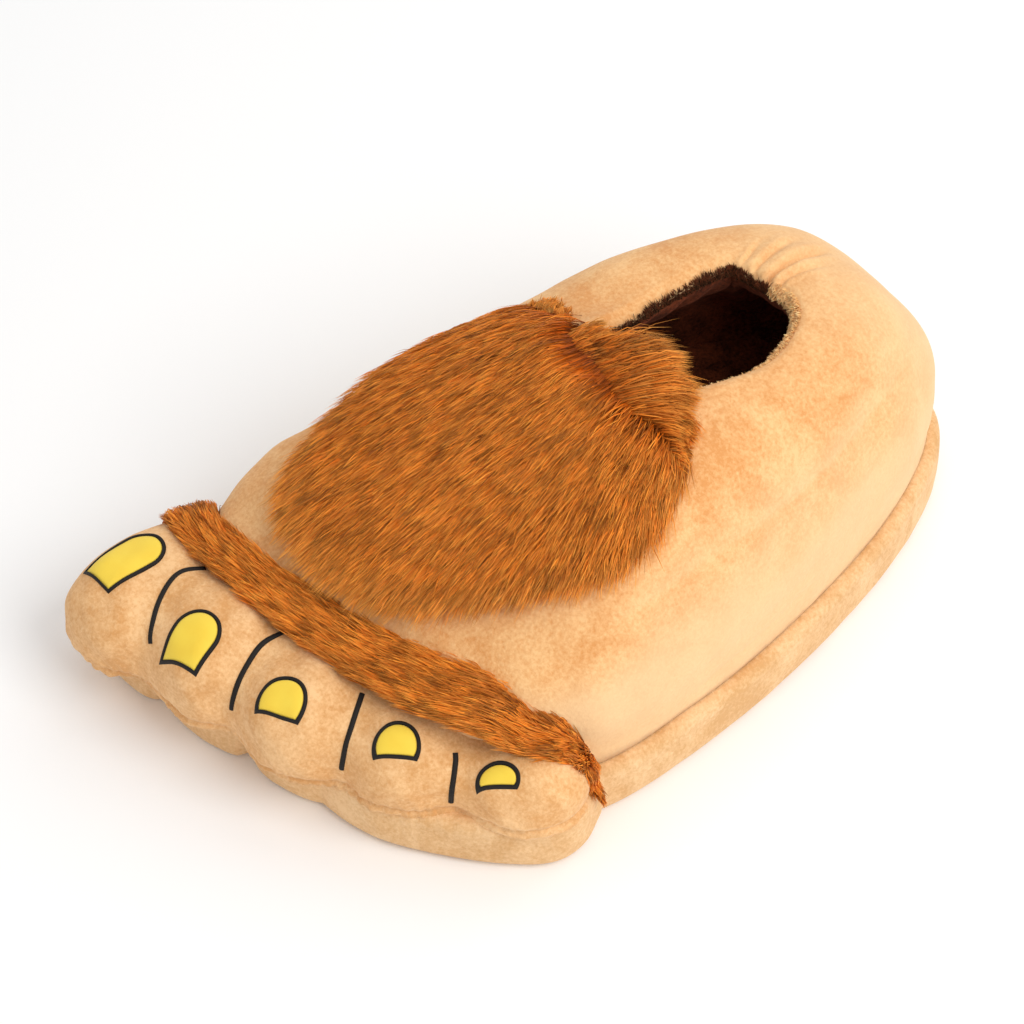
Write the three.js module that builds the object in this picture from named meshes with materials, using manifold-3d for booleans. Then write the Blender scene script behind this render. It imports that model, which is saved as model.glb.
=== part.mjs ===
// A plush novelty slipper in the form of a giant hairy bare foot, for the left foot.
// Millimetres, +Z up. The toes point to -Y, the heel to +Y, and the big toe is on the -X side.
// The origin is on the floor, under the middle of the foot.
import * as THREE from 'three';
import { mergeVertices } from 'three/addons/utils/BufferGeometryUtils.js';
import Module from 'manifold-3d';

const wasm = await Module();
wasm.setup();

// Driving dimensions
const LENGTH = 326; // from the tip of the big toe to the back of the heel
const WIDTH = 172; // across the upper at the ball of the foot
const COLLAR_HEIGHT = 118; // from the floor to the front of the collar
const COLLAR_LENGTH = 88; // of the collar's roll, along the foot
const COLLAR_WIDTH = 62; // of the collar's roll, across the foot
const COLLAR_ROLL = 6; // radius of the rolled edge
const SOLE_THICKNESS = 23;
const SOLE_LIP = 5; // the sole stands out this far past the upper
const SOLE_ROUNDING = 4; // of the sole's long edges
const WALL = 14; // plush, filling and lining together, where the upper meets the sole
const UPPER_BULGE = 3; // the filled side bellies out this far above the sole
const INSOLE_THICKNESS = 6;
const TOE_WIDTH = 43;
const TOE_REACH = 57;
const TOE_HEIGHT = 44;
const INSTEP_PILE = 8; // depth of the long fur on the instep
const KNUCKLE_PILE = 7; // depth of the fur strip over the knuckles
const STRIP_HEM = 5; // the strip's hanging ends stop this far over the floor
const STRIP_WIDTH = 22; // of the fur strip, seen from above
const LOCK_LENGTH = 13;
const LOCK_WIDTH = 5;
const LOCK_LIFT = 1.5; // of a lock's tip over the fur round it
const NAIL_LENGTH = 16;
const NAIL_WIDTH = 17;
const PATCH_THICKNESS = 0.9; // of a nail, its edging and a crease line
const EDGING_WIDTH = 1.4; // of the black edging round a nail
const CREASE_WIDTH = 1.9; // of the black line between two toes
const CLEARANCE = 0.3; // between pieces that touch

// Shares and counts that shape the forms
const COLLAR_MIDDLE = 0.221; // of LENGTH, from the origin to the middle of the collar
const LINING_EASE = 2.2; // how long the lining stays near the outside before it turns up to the collar
const TOE_ROUNDNESS = 2.4; // exponent of a toe's section, 2 for an ellipse
const PATCH_FOOT = 0.15; // of TOE_HEIGHT, from the sole's top up to the lowest point of a crease line
const RIM_FALL = 0.6; // how far the fur's depth falls off at the collar, 1 for all of it
const FUR_SWEEP = [0, 0.1, 0.35, 0.65, 0.9, 1]; // places up the instep fur where its dome is measured
const FUR_SUNK = 0.4; // of its depth, from the upper down to the fur's underside before it is cut to fit
const LOCK_ROOT = 0.3; // of the fur's depth, where a lock is rooted
const LOCK_CREST = 0.7; // of the fur's depth, from the root to the lock's highest edge
const LOCK_SHOULDER = 0.35; // of LOCK_LENGTH, from the root to the highest edge
const LOCK_HEEL = 0.3; // of LOCK_LENGTH, behind the root
const NAIL_BACK = 0.8; // of a nail's length, that its round back takes up at most
const NAIL_STEPS = 8; // round a nail's back
const LIP_END = 8; // the sole's lip is at its full width this share of its thickness down, as 1 over the share
const BELLY_END = 2.2; // the side's belly ends this far up the section, as 1 over the share
const ROUND_STEPS = 52; // round the foot
const RISE_STEPS = 13; // from the sole up to the collar
const ROLL_STEPS = 3;
const LINING_STEPS = 9;
const TOE_SIDES = 18;
const TOE_TIERS = 10;

// Sections of the upper, in order from the middle of the toe end past the little toe, round the heel and back.
// edgeX is a share of WIDTH and edgeY of LENGTH, where the section meets the sole. rollX and rollY are shares of
// COLLAR_WIDTH and COLLAR_LENGTH from the middle of the collar. rise is the share of the collar's height over
// the sole. full is the exponent of the section, and shoulder the share of its rise that comes at once.
const SECTIONS = [
  { edgeX: 0.0, edgeY: -0.301, rollX: -0.03, rollY: -0.48, rise: 0.98, full: 3.6, shoulder: 0.48 },
  { edgeX: 0.262, edgeY: -0.261, rollX: 0.226, rollY: -0.47, rise: 0.97, full: 3.5, shoulder: 0.57 },
  { edgeX: 0.453, edgeY: -0.14, rollX: 0.41, rollY: -0.365, rise: 0.945, full: 3.0, shoulder: 0.83 },
  { edgeX: 0.472, edgeY: 0.018, rollX: 0.49, rollY: -0.148, rise: 0.916, full: 2.5, shoulder: 1.0 },
  { edgeX: 0.432, edgeY: 0.19, rollX: 0.5, rollY: 0.102, rise: 0.88, full: 2.4, shoulder: 1.0 },
  { edgeX: 0.343, edgeY: 0.366, rollX: 0.355, rollY: 0.364, rise: 0.86, full: 2.4, shoulder: 1.0 },
  { edgeX: 0.203, edgeY: 0.49, rollX: 0.145, rollY: 0.489, rise: 0.842, full: 2.4, shoulder: 1.0 },
  { edgeX: 0.0, edgeY: 0.517, rollX: -0.08, rollY: 0.49, rise: 0.832, full: 2.4, shoulder: 1.0 },
  { edgeX: -0.2, edgeY: 0.487, rollX: -0.29, rollY: 0.46, rise: 0.832, full: 2.4, shoulder: 1.0 },
  { edgeX: -0.355, edgeY: 0.372, rollX: -0.42, rollY: 0.4, rise: 0.832, full: 2.4, shoulder: 1.0 },
  { edgeX: -0.455, edgeY: 0.193, rollX: -0.47, rollY: 0.148, rise: 0.832, full: 2.35, shoulder: 1.0 },
  { edgeX: -0.485, edgeY: 0.0, rollX: -0.445, rollY: -0.136, rise: 0.85, full: 2.3, shoulder: 0.92 },
  { edgeX: -0.498, edgeY: -0.227, rollX: -0.4, rollY: -0.365, rise: 0.9, full: 2.9, shoulder: 0.56 },
  { edgeX: -0.355, edgeY: -0.326, rollX: -0.25, rollY: -0.47, rise: 0.955, full: 3.5, shoulder: 0.41 },
];

// The five toes, big toe first. x is a share of WIDTH and y of LENGTH, to the toe's middle. lift is its middle's
// height over the sole, crown its top and belly its underside, as shares of TOE_HEIGHT. wide and long are shares
// of TOE_WIDTH and TOE_REACH. under is the share of its length that the sole reaches under it. turn is how far it
// splays towards the little toe's side, in degrees.
const TOES = [
  { x: -0.42, y: -0.368, lift: 0.18, wide: 1.1, long: 1.23, crown: 0.49, belly: 0.41, under: 0.57, turn: 0 },
  { x: -0.209, y: -0.356, lift: 0.16, wide: 1.1, long: 0.95, crown: 0.6, belly: 0.455, under: 0.67, turn: 7 },
  { x: 0.017, y: -0.319, lift: 0.16, wide: 1.15, long: 1.0, crown: 0.58, belly: 0.41, under: 0.68, turn: 20 },
  { x: 0.215, y: -0.267, lift: 0.125, wide: 1.1, long: 0.91, crown: 0.56, belly: 0.385, under: 0.92, turn: 36 },
  { x: 0.408, y: -0.193, lift: 0.07, wide: 1.08, long: 0.81, crown: 0.545, belly: 0.34, under: 0.92, turn: 50 },
];

// The nails, as shares. across and along go from the toe's middle, of TOE_WIDTH and TOE_REACH, along towards the
// tip. wide and long are shares of NAIL_WIDTH and NAIL_LENGTH. turn is degrees more than the toe's own.
const NAILS = [
  { across: -0.19, along: 0.053, wide: 1.0, long: 1.85, turn: 0 },
  { across: 0.0, along: 0.198, wide: 1.08, long: 1.06, turn: 0 },
  { across: -0.082, along: 0.252, wide: 0.99, long: 0.69, turn: 5 },
  { across: -0.062, along: 0.241, wide: 0.84, long: 0.58, turn: 7 },
  { across: -0.185, along: 0.215, wide: 0.8, long: 0.38, turn: -6 },
];

// Curved black lines in the valleys between the toes, from the tips backwards. Each row is a point: x is a share
// of WIDTH and y of LENGTH.
const CREASES = [
  [{ x: -0.301, y: -0.419 }, { x: -0.338, y: -0.393 }, { x: -0.363, y: -0.352 }, { x: -0.355, y: -0.325 }],
  [{ x: -0.08, y: -0.394 }, { x: -0.095, y: -0.368 }, { x: -0.11, y: -0.342 }, { x: -0.117, y: -0.318 }],
  [{ x: 0.165, y: -0.342 }, { x: 0.158, y: -0.331 }, { x: 0.14, y: -0.314 }, { x: 0.118, y: -0.296 }],
  [{ x: 0.361, y: -0.276 }, { x: 0.352, y: -0.268 }, { x: 0.339, y: -0.26 }, { x: 0.325, y: -0.252 }],
];

// The instep fur, as a band round the upper. round is the place round the foot, from 0 at the middle of the toe
// end, in turns. low and high are heights up the section, from 0 at the sole to 1 at the collar. pile is a share
// of the fur's depth.
const INSTEP_BAND = [
  { round: -0.232, low: 0.78, high: 0.96, pile: 0.3 },
  { round: -0.205, low: 0.66, high: 1.0, pile: 0.85 },
  { round: -0.16, low: 0.54, high: 1.0, pile: 1.0 },
  { round: -0.11, low: 0.46, high: 1.0, pile: 1.0 },
  { round: -0.06, low: 0.44, high: 1.0, pile: 1.0 },
  { round: -0.02, low: 0.4, high: 1.0, pile: 1.0 },
  { round: 0.02, low: 0.44, high: 1.0, pile: 1.0 },
  { round: 0.06, low: 0.53, high: 1.0, pile: 1.0 },
  { round: 0.11, low: 0.55, high: 1.0, pile: 1.0 },
  { round: 0.15, low: 0.55, high: 1.0, pile: 1.0 },
  { round: 0.175, low: 0.64, high: 0.98, pile: 0.85 },
  { round: 0.195, low: 0.75, high: 0.9, pile: 0.3 },
];

// The fur strip over the knuckles, from the big toe's side to the little toe's, where it hangs down over the sole.
// x is a share of WIDTH and y of LENGTH, to the middle of the strip. wide is a share of STRIP_WIDTH.
const STRIP = [
  { x: -0.56, y: -0.272, wide: 0.7 },
  { x: -0.45, y: -0.293, wide: 1.0 },
  { x: -0.29, y: -0.292, wide: 0.75 },
  { x: -0.128, y: -0.289, wide: 0.75 },
  { x: 0.047, y: -0.279, wide: 0.95 },
  { x: 0.233, y: -0.251, wide: 0.95 },
  { x: 0.38, y: -0.205, wide: 0.75 },
  { x: 0.475, y: -0.163, wide: 0.8 },
  { x: 0.56, y: -0.125, wide: 0.75 },
];
// Where the strip's locks are rooted, as a band round the upper.
const STRIP_ROOTS = [
  { round: -0.1, low: 0.24, high: 0.38, pile: 1.0 },
  { round: 0.1, low: 0.18, high: 0.32, pile: 1.0 },
];

const UP = new THREE.Vector3(0, 0, 1);
const SOLE_TOP = SOLE_THICKNESS + CLEARANCE; // where the pieces on the sole begin
const signedPower = (value, power) => Math.sign(value) * Math.abs(value) ** power;
const smooth = (share) => share * share * (3 - 2 * share);
const mix = (from, to, share) => from + (to - from) * share;
const steps = (count, make) => Array.from({ length: count }, (_, i) => make(i));

// A smooth closed curve through the rows of a table, column by column.
function between(rows, round) {
  const place = (((round % 1) + 1) % 1) * rows.length;
  const first = Math.floor(place);
  const share = place - first;
  const [p0, p1, p2, p3] = [-1, 0, 1, 2].map((k) => rows[(first + k + rows.length) % rows.length]);
  const result = {};
  for (const column of Object.keys(p1)) {
    const [a, b, c, d] = [p0, p1, p2, p3].map((row) => row[column]);
    result[column] = b + 0.5 * share * (c - a + share * (2 * a - 5 * b + 4 * c - d + share * (3 * (b - c) + d - a)));
  }
  return result;
}

// Where the upper meets the sole, and its collar's roll, seen from above.
function edgeAt(round) {
  const row = between(SECTIONS, round);
  return new THREE.Vector3(row.edgeX * WIDTH, row.edgeY * LENGTH, 0);
}
function rollAt(round) {
  const row = between(SECTIONS, round);
  const middle = COLLAR_MIDDLE * LENGTH;
  return new THREE.Vector3(row.rollX * COLLAR_WIDTH, middle + row.rollY * COLLAR_LENGTH, 0);
}
function outwards(curve, round) {
  const step = 0.002;
  const along = curve(round + step).sub(curve(round - step));
  return new THREE.Vector3(along.y, -along.x, 0).normalize();
}

// The outside of the upper. height is 0 at the sole and 1 at the collar, and below 0 it is the side of the sole.
function outsidePoint(round, height) {
  const edge = edgeAt(round);
  const away = outwards(edgeAt, round);
  if (height < 0) {
    const lip = SOLE_LIP * Math.min(1, -LIP_END * height);
    return edge.addScaledVector(away, lip).setZ(SOLE_TOP * (1 + height));
  }
  const row = between(SECTIONS, round);
  const angle = Math.min(height, 1) * Math.PI / 2;
  const inward = 1 - Math.max(0, Math.cos(angle)) ** (2 / row.full);
  const upward = Math.sin(angle) ** (2 / row.full);
  const share = row.shoulder * upward + (1 - row.shoulder) * inward;
  const belly = UPPER_BULGE * Math.sin(Math.PI * Math.min(1, BELLY_END * height));
  const top = SOLE_TOP + row.rise * (COLLAR_HEIGHT - SOLE_TOP);
  return edge.lerp(rollAt(round), inward).addScaledVector(away, belly).setZ(mix(SOLE_TOP, top, share));
}
// The same outside, moved out by a distance along its normal.
function outside(round, height, distance = 0) {
  const point = outsidePoint(round, height);
  if (distance === 0) return point;
  const low = Math.min(height, 0.99) - 0.01;
  const up = outsidePoint(round, low + 0.02).sub(outsidePoint(round, low));
  const along = outsidePoint(round + 0.002, height).sub(outsidePoint(round - 0.002, height));
  return point.addScaledVector(along.cross(up).normalize(), distance);
}
// The lining, from 0 at the sole to 1 where the collar's roll turns down into the foot's room.
function lining(round, height) {
  const edge = edgeAt(round).addScaledVector(outwards(edgeAt, round), -WALL);
  const roll = rollAt(round).addScaledVector(outwards(rollAt, round), -COLLAR_ROLL);
  const top = outsidePoint(round, 1).z - COLLAR_ROLL;
  return edge.lerp(roll, smooth(height) ** LINING_EASE).setZ(mix(SOLE_TOP, top, height));
}
function collarRoll(round, share) {
  const angle = share * Math.PI / 2;
  const away = outwards(rollAt, round);
  return outsidePoint(round, 1)
    .addScaledVector(away, -COLLAR_ROLL * Math.sin(angle))
    .addScaledVector(UP, COLLAR_ROLL * (Math.cos(angle) - 1));
}

// A closed surface through rings of equally many points. Each end closes on its tip, and with no tips the last
// ring joins the first.
function skin(rings, firstTip, lastTip) {
  const sides = rings[0].length;
  const points = rings.flat();
  const faces = [];
  const bands = firstTip ? rings.length - 1 : rings.length;
  for (let i = 0; i < bands; i += 1) {
    const low = i * sides;
    const high = ((i + 1) % rings.length) * sides;
    for (let j = 0; j < sides; j += 1) {
      const k = (j + 1) % sides;
      faces.push([low + j, low + k, high + k], [low + j, high + k, high + j]);
    }
  }
  if (firstTip) {
    const last = (rings.length - 1) * sides;
    points.push(firstTip, lastTip);
    for (let j = 0; j < sides; j += 1) {
      const k = (j + 1) % sides;
      faces.push([points.length - 2, k, j], [points.length - 1, last + j, last + k]);
    }
  }
  let volume = 0;
  for (const [a, b, c] of faces) {
    volume += points[a].dot(points[b].clone().cross(points[c]));
  }
  const geometry = new THREE.BufferGeometry().setFromPoints(points);
  geometry.setIndex(faces.flatMap(([a, b, c]) => (volume > 0 ? [a, b, c] : [a, c, b])));
  return solidOf(geometry);
}
const middleOf = (ring) => ring.reduce((sum, point) => sum.add(point), new THREE.Vector3()).divideScalar(ring.length);
const capped = (rings) => skin(rings, middleOf(rings[0]), middleOf(rings.at(-1)));

function solidOf(geometry) {
  const bare = geometry.clone();
  bare.deleteAttribute('normal');
  bare.deleteAttribute('uv');
  const merged = mergeVertices(bare, 1e-5);
  const vertProperties = new Float32Array(merged.attributes.position.array);
  const triVerts = new Uint32Array(merged.index.array);
  return new wasm.Manifold(new wasm.Mesh({ numProp: 3, vertProperties, triVerts }));
}
function geometryOf(solid) {
  const { numProp, vertProperties, triVerts } = solid.getMesh();
  const geometry = new THREE.BufferGeometry();
  const corners = steps(vertProperties.length / numProp, (i) => new THREE.Vector3().fromArray(vertProperties, i * numProp));
  geometry.setFromPoints(corners);
  geometry.setIndex([...triVerts]);
  geometry.computeVertexNormals();
  return geometry;
}
const joined = (solids) => solids.reduce((sum, solid) => sum.add(solid));

// A flat slab with rounded long edges, from an outline that takes a place round it and an inset.
function slab(outline, sides, thickness, rounding, base) {
  const tiers = [
    { inset: rounding, height: 0 },
    { inset: 0, height: rounding },
    { inset: 0, height: thickness - rounding },
    { inset: rounding, height: thickness },
  ];
  return capped(tiers.map(({ inset, height }) => (
    steps(sides, (i) => outline(i / sides, inset).setZ(base + height)))));
}

// Plan placing of a toe: across is to the toe's own right and along is towards its tip.
function onToe(toe, across, along) {
  const turn = THREE.MathUtils.degToRad(toe.turn);
  return new THREE.Vector3(
    toe.x * WIDTH + across * Math.cos(turn) + along * Math.sin(turn),
    toe.y * LENGTH + across * Math.sin(turn) - along * Math.cos(turn),
    0,
  );
}
const toeMiddle = (toe) => SOLE_THICKNESS + toe.lift * TOE_HEIGHT;

// A stuffed toe, grown by a distance all round.
function toeSolid(toe, distance) {
  const power = 2 / TOE_ROUNDNESS;
  const across = toe.wide * TOE_WIDTH / 2 + distance;
  const along = toe.long * TOE_REACH / 2 + distance;
  const rise = (sine) => sine * (TOE_HEIGHT * (sine > 0 ? toe.crown : toe.belly) + distance);
  const rings = steps(TOE_TIERS - 1, (i) => {
    const tilt = ((i + 1) / TOE_TIERS - 0.5) * Math.PI;
    const spread = Math.cos(tilt) ** power;
    return steps(TOE_SIDES, (j) => {
      const turn = (j / TOE_SIDES) * 2 * Math.PI;
      const side = across * spread * signedPower(Math.cos(turn), power);
      const front = along * spread * signedPower(Math.sin(turn), power);
      return onToe(toe, side, front).setZ(toeMiddle(toe) + rise(signedPower(Math.sin(tilt), power)));
    });
  });
  const tip = (sine) => onToe(toe, 0, 0).setZ(toeMiddle(toe) + rise(sine));
  return skin(rings, tip(-1), tip(1));
}
const allToes = (distance) => joined(TOES.map((toe) => toeSolid(toe, distance)));

// A post that stands on a plan outline, tall enough to pass through everything.
function post(outline) {
  const depth = 2 * COLLAR_HEIGHT;
  return solidOf(new THREE.ExtrudeGeometry(new THREE.Shape(outline), { depth, bevelEnabled: false }));
}

// The sole: one foam slab under the upper, scalloped under each toe, covered in plush.
const footOutline = (round, inset) => edgeAt(round).addScaledVector(outwards(edgeAt, round), SOLE_LIP - inset);
function scallopOutline(toe) {
  const power = 2 / TOE_ROUNDNESS;
  return (round, inset) => {
    const turn = round * 2 * Math.PI;
    const across = (toe.wide * TOE_WIDTH / 2 - inset) * signedPower(Math.cos(turn), power);
    const along = (toe.under * toe.long * TOE_REACH / 2 - inset) * signedPower(Math.sin(turn), power);
    return onToe(toe, across, along);
  };
}
function soleSolid(distance) {
  const grown = (outline) => (round, inset) => outline(round, inset - distance);
  const make = (outline, sides) => (
    slab(grown(outline), sides, SOLE_THICKNESS + 2 * distance, SOLE_ROUNDING, -distance));
  return joined([make(footOutline, ROUND_STEPS), ...TOES.map((toe) => make(scallopOutline(toe), TOE_SIDES))]);
}

// The upper as it looks from outside, filled, to cut what lies on it.
function upperFilled(distance) {
  const ring = (height) => steps(ROUND_STEPS, (i) => outside(i / ROUND_STEPS, height, distance));
  const rings = steps(RISE_STEPS + 1, (i) => ring(i / RISE_STEPS));
  const foot = rings[0].map((point) => point.clone().setZ(SOLE_TOP - 2 * CLEARANCE - distance));
  return capped([foot, ...rings]);
}

// The upper: one padded wall, open at the collar and over the sole.
function upperSolid() {
  const ring = (make, value) => steps(ROUND_STEPS, (i) => make(i / ROUND_STEPS, value));
  return skin([
    ...steps(RISE_STEPS + 1, (i) => ring(outside, i / RISE_STEPS)),
    ...steps(ROLL_STEPS, (i) => ring(collarRoll, (i + 1) / ROLL_STEPS)),
    ...steps(LINING_STEPS, (i) => ring(lining, 1 - (i + 1) / LINING_STEPS)),
  ]);
}

// The insole: a lined foam sheet that fills the floor of the foot's room.
function insoleSolid() {
  const inset = WALL + CLEARANCE;
  const outline = (round, more) => edgeAt(round).addScaledVector(outwards(edgeAt, round), -inset - more);
  return slab(outline, ROUND_STEPS / 2, INSOLE_THICKNESS, INSOLE_THICKNESS / 4, SOLE_TOP);
}

// Long fur: a domed band on the upper with locks fused on. The band's rows are stations round the foot.
function stationAt(rows, share) {
  const place = share * (rows.length - 1);
  const first = Math.min(Math.floor(place), rows.length - 2);
  const result = {};
  for (const column of Object.keys(rows[first])) {
    result[column] = mix(rows[first][column], rows[first + 1][column], place - first);
  }
  return result;
}
function furBand(rows, depth, stations) {
  const buried = -FUR_SUNK * depth;
  const edges = [FUR_SWEEP.at(-2), FUR_SWEEP[1]];
  return capped(steps(stations, (i) => {
    const row = stationAt(rows, i / (stations - 1));
    const top = FUR_SWEEP.map((share) => {
      const fall = share < 0.5 ? 1 : RIM_FALL;
      const dome = depth * row.pile * (1 - fall * (2 * share - 1) ** 4) ** 0.5;
      return outside(row.round, mix(row.low, row.high, share), dome);
    });
    const bottom = edges.map((share) => outside(row.round, mix(row.low, row.high, share), buried));
    return [...top, ...bottom];
  }));
}
// One lock: a slim pyramid from its root to a tip further down the nap, which stands proud of the fur.
function furLock(round, height, lean, depth) {
  const root = outside(round, height, LOCK_ROOT * depth);
  const crest = LOCK_CREST * depth + LOCK_LIFT;
  const out = outside(round, height, 1).sub(outside(round, height));
  const along = lean.clone().addScaledVector(out, -lean.dot(out)).normalize();
  const side = along.clone().cross(out).multiplyScalar(LOCK_WIDTH / 2);
  const tip = root.clone().addScaledVector(along, LOCK_LENGTH).addScaledVector(out, crest);
  const ring = [
    root.clone().add(side),
    root.clone().addScaledVector(out, crest).addScaledVector(along, LOCK_SHOULDER * LOCK_LENGTH),
    root.clone().sub(side),
  ];
  return skin([ring], middleOf(ring).addScaledVector(along, -LOCK_HEEL * LOCK_LENGTH), tip);
}
function furLocks(rows, depth, columns, tiers, leanAt) {
  const locks = [];
  for (let i = 0; i < columns; i += 1) {
    for (let j = 0; j < tiers; j += 1) {
      const row = stationAt(rows, (i + 0.7 + 0.3 * (j % 2)) / (columns + 0.7));
      const height = mix(row.low, row.high, (j + 0.8) / (tiers + 0.3));
      locks.push(furLock(row.round, height, leanAt(row.round, height), depth * row.pile));
    }
  }
  return locks;
}
const downTheNap = (round, height) => outside(round, height - 0.02).sub(outside(round, height + 0.02));
const alongTheStrip = (round, height) => outside(round - 0.01, height).sub(outside(round, height));

// A nail: straight at the tip end with pointed corners, round at the cuticle.
function nailOutline(toe, nail, margin) {
  const placed = { ...toe, turn: toe.turn + nail.turn };
  const middle = nail.across * TOE_WIDTH;
  const front = nail.along * TOE_REACH + nail.long * NAIL_LENGTH / 2;
  const half = nail.wide * NAIL_WIDTH / 2;
  const back = Math.min(half, nail.long * NAIL_LENGTH * NAIL_BACK);
  const arc = steps(NAIL_STEPS + 1, (i) => {
    const turn = (i / NAIL_STEPS) * Math.PI;
    const across = (half + margin) * Math.cos(turn);
    const along = front + margin - nail.long * NAIL_LENGTH + back - margin - (back + margin) * Math.sin(turn);
    return onToe(placed, middle + across, along);
  });
  const corners = [-1, 1].map((side) => onToe(placed, middle + side * (half + margin), front + margin));
  return [...arc, ...corners].map((point) => new THREE.Vector2(point.x, point.y));
}
// A thin patch that lies on the toes inside a plan outline.
const toeBase = allToes(CLEARANCE);
const patchLayer = allToes(CLEARANCE + PATCH_THICKNESS).subtract(toeBase);

// The plan outline of a ribbon along a table of points, with the width at each.
function ribbonOutline(points, widths, samples) {
  const spread = points.map(({ x, y }) => new THREE.Vector3(x * WIDTH, y * LENGTH, 0));
  const middle = new THREE.CatmullRomCurve3(spread);
  const pairs = steps(samples + 1, (i) => {
    const share = i / samples;
    const place = Math.min(share * (widths.length - 1), widths.length - 1.001);
    const wide = mix(widths[Math.floor(place)], widths[Math.floor(place) + 1], place % 1);
    const side = middle.getTangent(share).cross(UP).multiplyScalar(wide / 2);
    return [middle.getPoint(share).add(side), middle.getPoint(share).sub(side)];
  });
  const ring = [...pairs.map(([left]) => left), ...pairs.map(([, right]) => right).reverse()];
  return ring.map((point) => new THREE.Vector2(point.x, point.y));
}

const upperCutter = upperFilled(CLEARANCE);
const soleCutter = soleSolid(CLEARANCE);
const toes = allToes(0).subtract(upperCutter).subtract(soleCutter);

// The space over a height, so that a patch lies on top of a toe and not also beneath it.
function above(height) {
  const reach = 2 * LENGTH;
  const box = new THREE.BoxGeometry(reach, reach, COLLAR_HEIGHT);
  return solidOf(box.translate(0, 0, height + COLLAR_HEIGHT / 2));
}

const stripPost = (margin) => (
  post(ribbonOutline(STRIP, STRIP.map(({ wide }) => wide * STRIP_WIDTH + 2 * margin), 16)));
const stripShell = joined([allToes(KNUCKLE_PILE), upperFilled(KNUCKLE_PILE), soleSolid(KNUCKLE_PILE)]);
const knuckleFur = joined([stripShell, ...furLocks(STRIP_ROOTS, KNUCKLE_PILE, 12, 1, alongTheStrip)])
  .intersect(stripPost(0))
  .intersect(above(STRIP_HEM))
  .subtract(joined([upperCutter, soleCutter, toeBase]));
const instepFur = joined([
  furBand(INSTEP_BAND, INSTEP_PILE, 19),
  ...furLocks(INSTEP_BAND, INSTEP_PILE, 10, 4, downTheNap),
]).subtract(upperCutter).subtract(stripPost(CLEARANCE));
const patchRoom = patchLayer
  .intersect(above(SOLE_TOP + PATCH_FOOT * TOE_HEIGHT))
  .subtract(stripPost(CLEARANCE));

// Looks of the materials
const finish = (color, roughness) => new THREE.MeshStandardMaterial({ color, roughness, metalness: 0 });
const LOOKS = {
  plush: () => finish(0xf0bf82, 0.95),
  band: () => finish(0xdda36a, 0.95),
  lining: () => finish(0x3a1a10, 0.95),
  fur: () => finish(0xb4642a, 0.9),
  nail: () => finish(0xffdf4a, 0.6),
  line: () => finish(0x1c1512, 0.8),
};

const slipper = new THREE.Group();
function addPiece(name, solid, look) {
  const mesh = new THREE.Mesh(geometryOf(solid), LOOKS[look]());
  mesh.name = name;
  slipper.add(mesh);
}

addPiece('sole', soleSolid(0), 'band');
addPiece('insole', insoleSolid(), 'lining');
addPiece('upper', upperSolid(), 'plush');
addPiece('toes', toes, 'plush');
addPiece('instep_fur', instepFur, 'fur');
addPiece('knuckle_fur', knuckleFur, 'fur');

NAILS.forEach((nail, i) => {
  const inner = post(nailOutline(TOES[i], nail, 0));
  const gap = post(nailOutline(TOES[i], nail, CLEARANCE));
  const outer = post(nailOutline(TOES[i], nail, CLEARANCE + EDGING_WIDTH));
  addPiece(`toenail_${i + 1}`, patchRoom.intersect(inner), 'nail');
  addPiece(`nail_edging_${i + 1}`, patchRoom.intersect(outer.subtract(gap)), 'line');
});

CREASES.forEach((points, i) => {
  const ribbon = post(ribbonOutline(points, [CREASE_WIDTH, CREASE_WIDTH], 7));
  addPiece(`crease_line_${i + 1}`, patchRoom.intersect(ribbon), 'line');
});

export default slipper;
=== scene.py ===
import math

import bpy
import numpy as np
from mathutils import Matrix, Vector
from mathutils.bvhtree import BVHTree


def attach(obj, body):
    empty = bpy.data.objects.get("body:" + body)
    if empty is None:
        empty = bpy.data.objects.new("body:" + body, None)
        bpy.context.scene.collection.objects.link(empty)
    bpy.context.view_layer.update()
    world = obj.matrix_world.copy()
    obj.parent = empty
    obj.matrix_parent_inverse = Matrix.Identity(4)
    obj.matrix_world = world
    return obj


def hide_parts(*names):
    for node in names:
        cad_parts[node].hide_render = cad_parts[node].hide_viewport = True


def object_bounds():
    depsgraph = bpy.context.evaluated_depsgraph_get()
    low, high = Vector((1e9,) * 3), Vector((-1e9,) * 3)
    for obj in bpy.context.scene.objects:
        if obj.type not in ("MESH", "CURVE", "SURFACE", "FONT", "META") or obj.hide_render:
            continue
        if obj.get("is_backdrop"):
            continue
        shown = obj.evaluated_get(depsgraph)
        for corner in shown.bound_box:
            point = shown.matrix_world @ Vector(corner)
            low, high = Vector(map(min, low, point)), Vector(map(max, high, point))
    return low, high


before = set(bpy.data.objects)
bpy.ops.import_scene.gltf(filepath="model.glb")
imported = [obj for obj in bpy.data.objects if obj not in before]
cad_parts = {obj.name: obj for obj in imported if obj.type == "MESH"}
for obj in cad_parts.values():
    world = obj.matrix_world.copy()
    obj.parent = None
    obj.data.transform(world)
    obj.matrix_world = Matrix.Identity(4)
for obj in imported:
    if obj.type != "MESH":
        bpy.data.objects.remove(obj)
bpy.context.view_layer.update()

# Photographer's table: a plain white sweep, a big soft light over the toes, a weaker one at the side,
# and a long lens that looks down on the slipper from beyond its little toe.
MM = 0.001
LENS_AZIMUTH = math.radians(51.5)
LENS_HEIGHT = math.radians(50.0)
LENS_DISTANCE = 1407.1
LENS_FOCAL = 135.6
SENSOR = 36.0
LENS_AIM = (-16.9, 0.4, 42.0)
SWEEP_SIZE = 6.0


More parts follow.
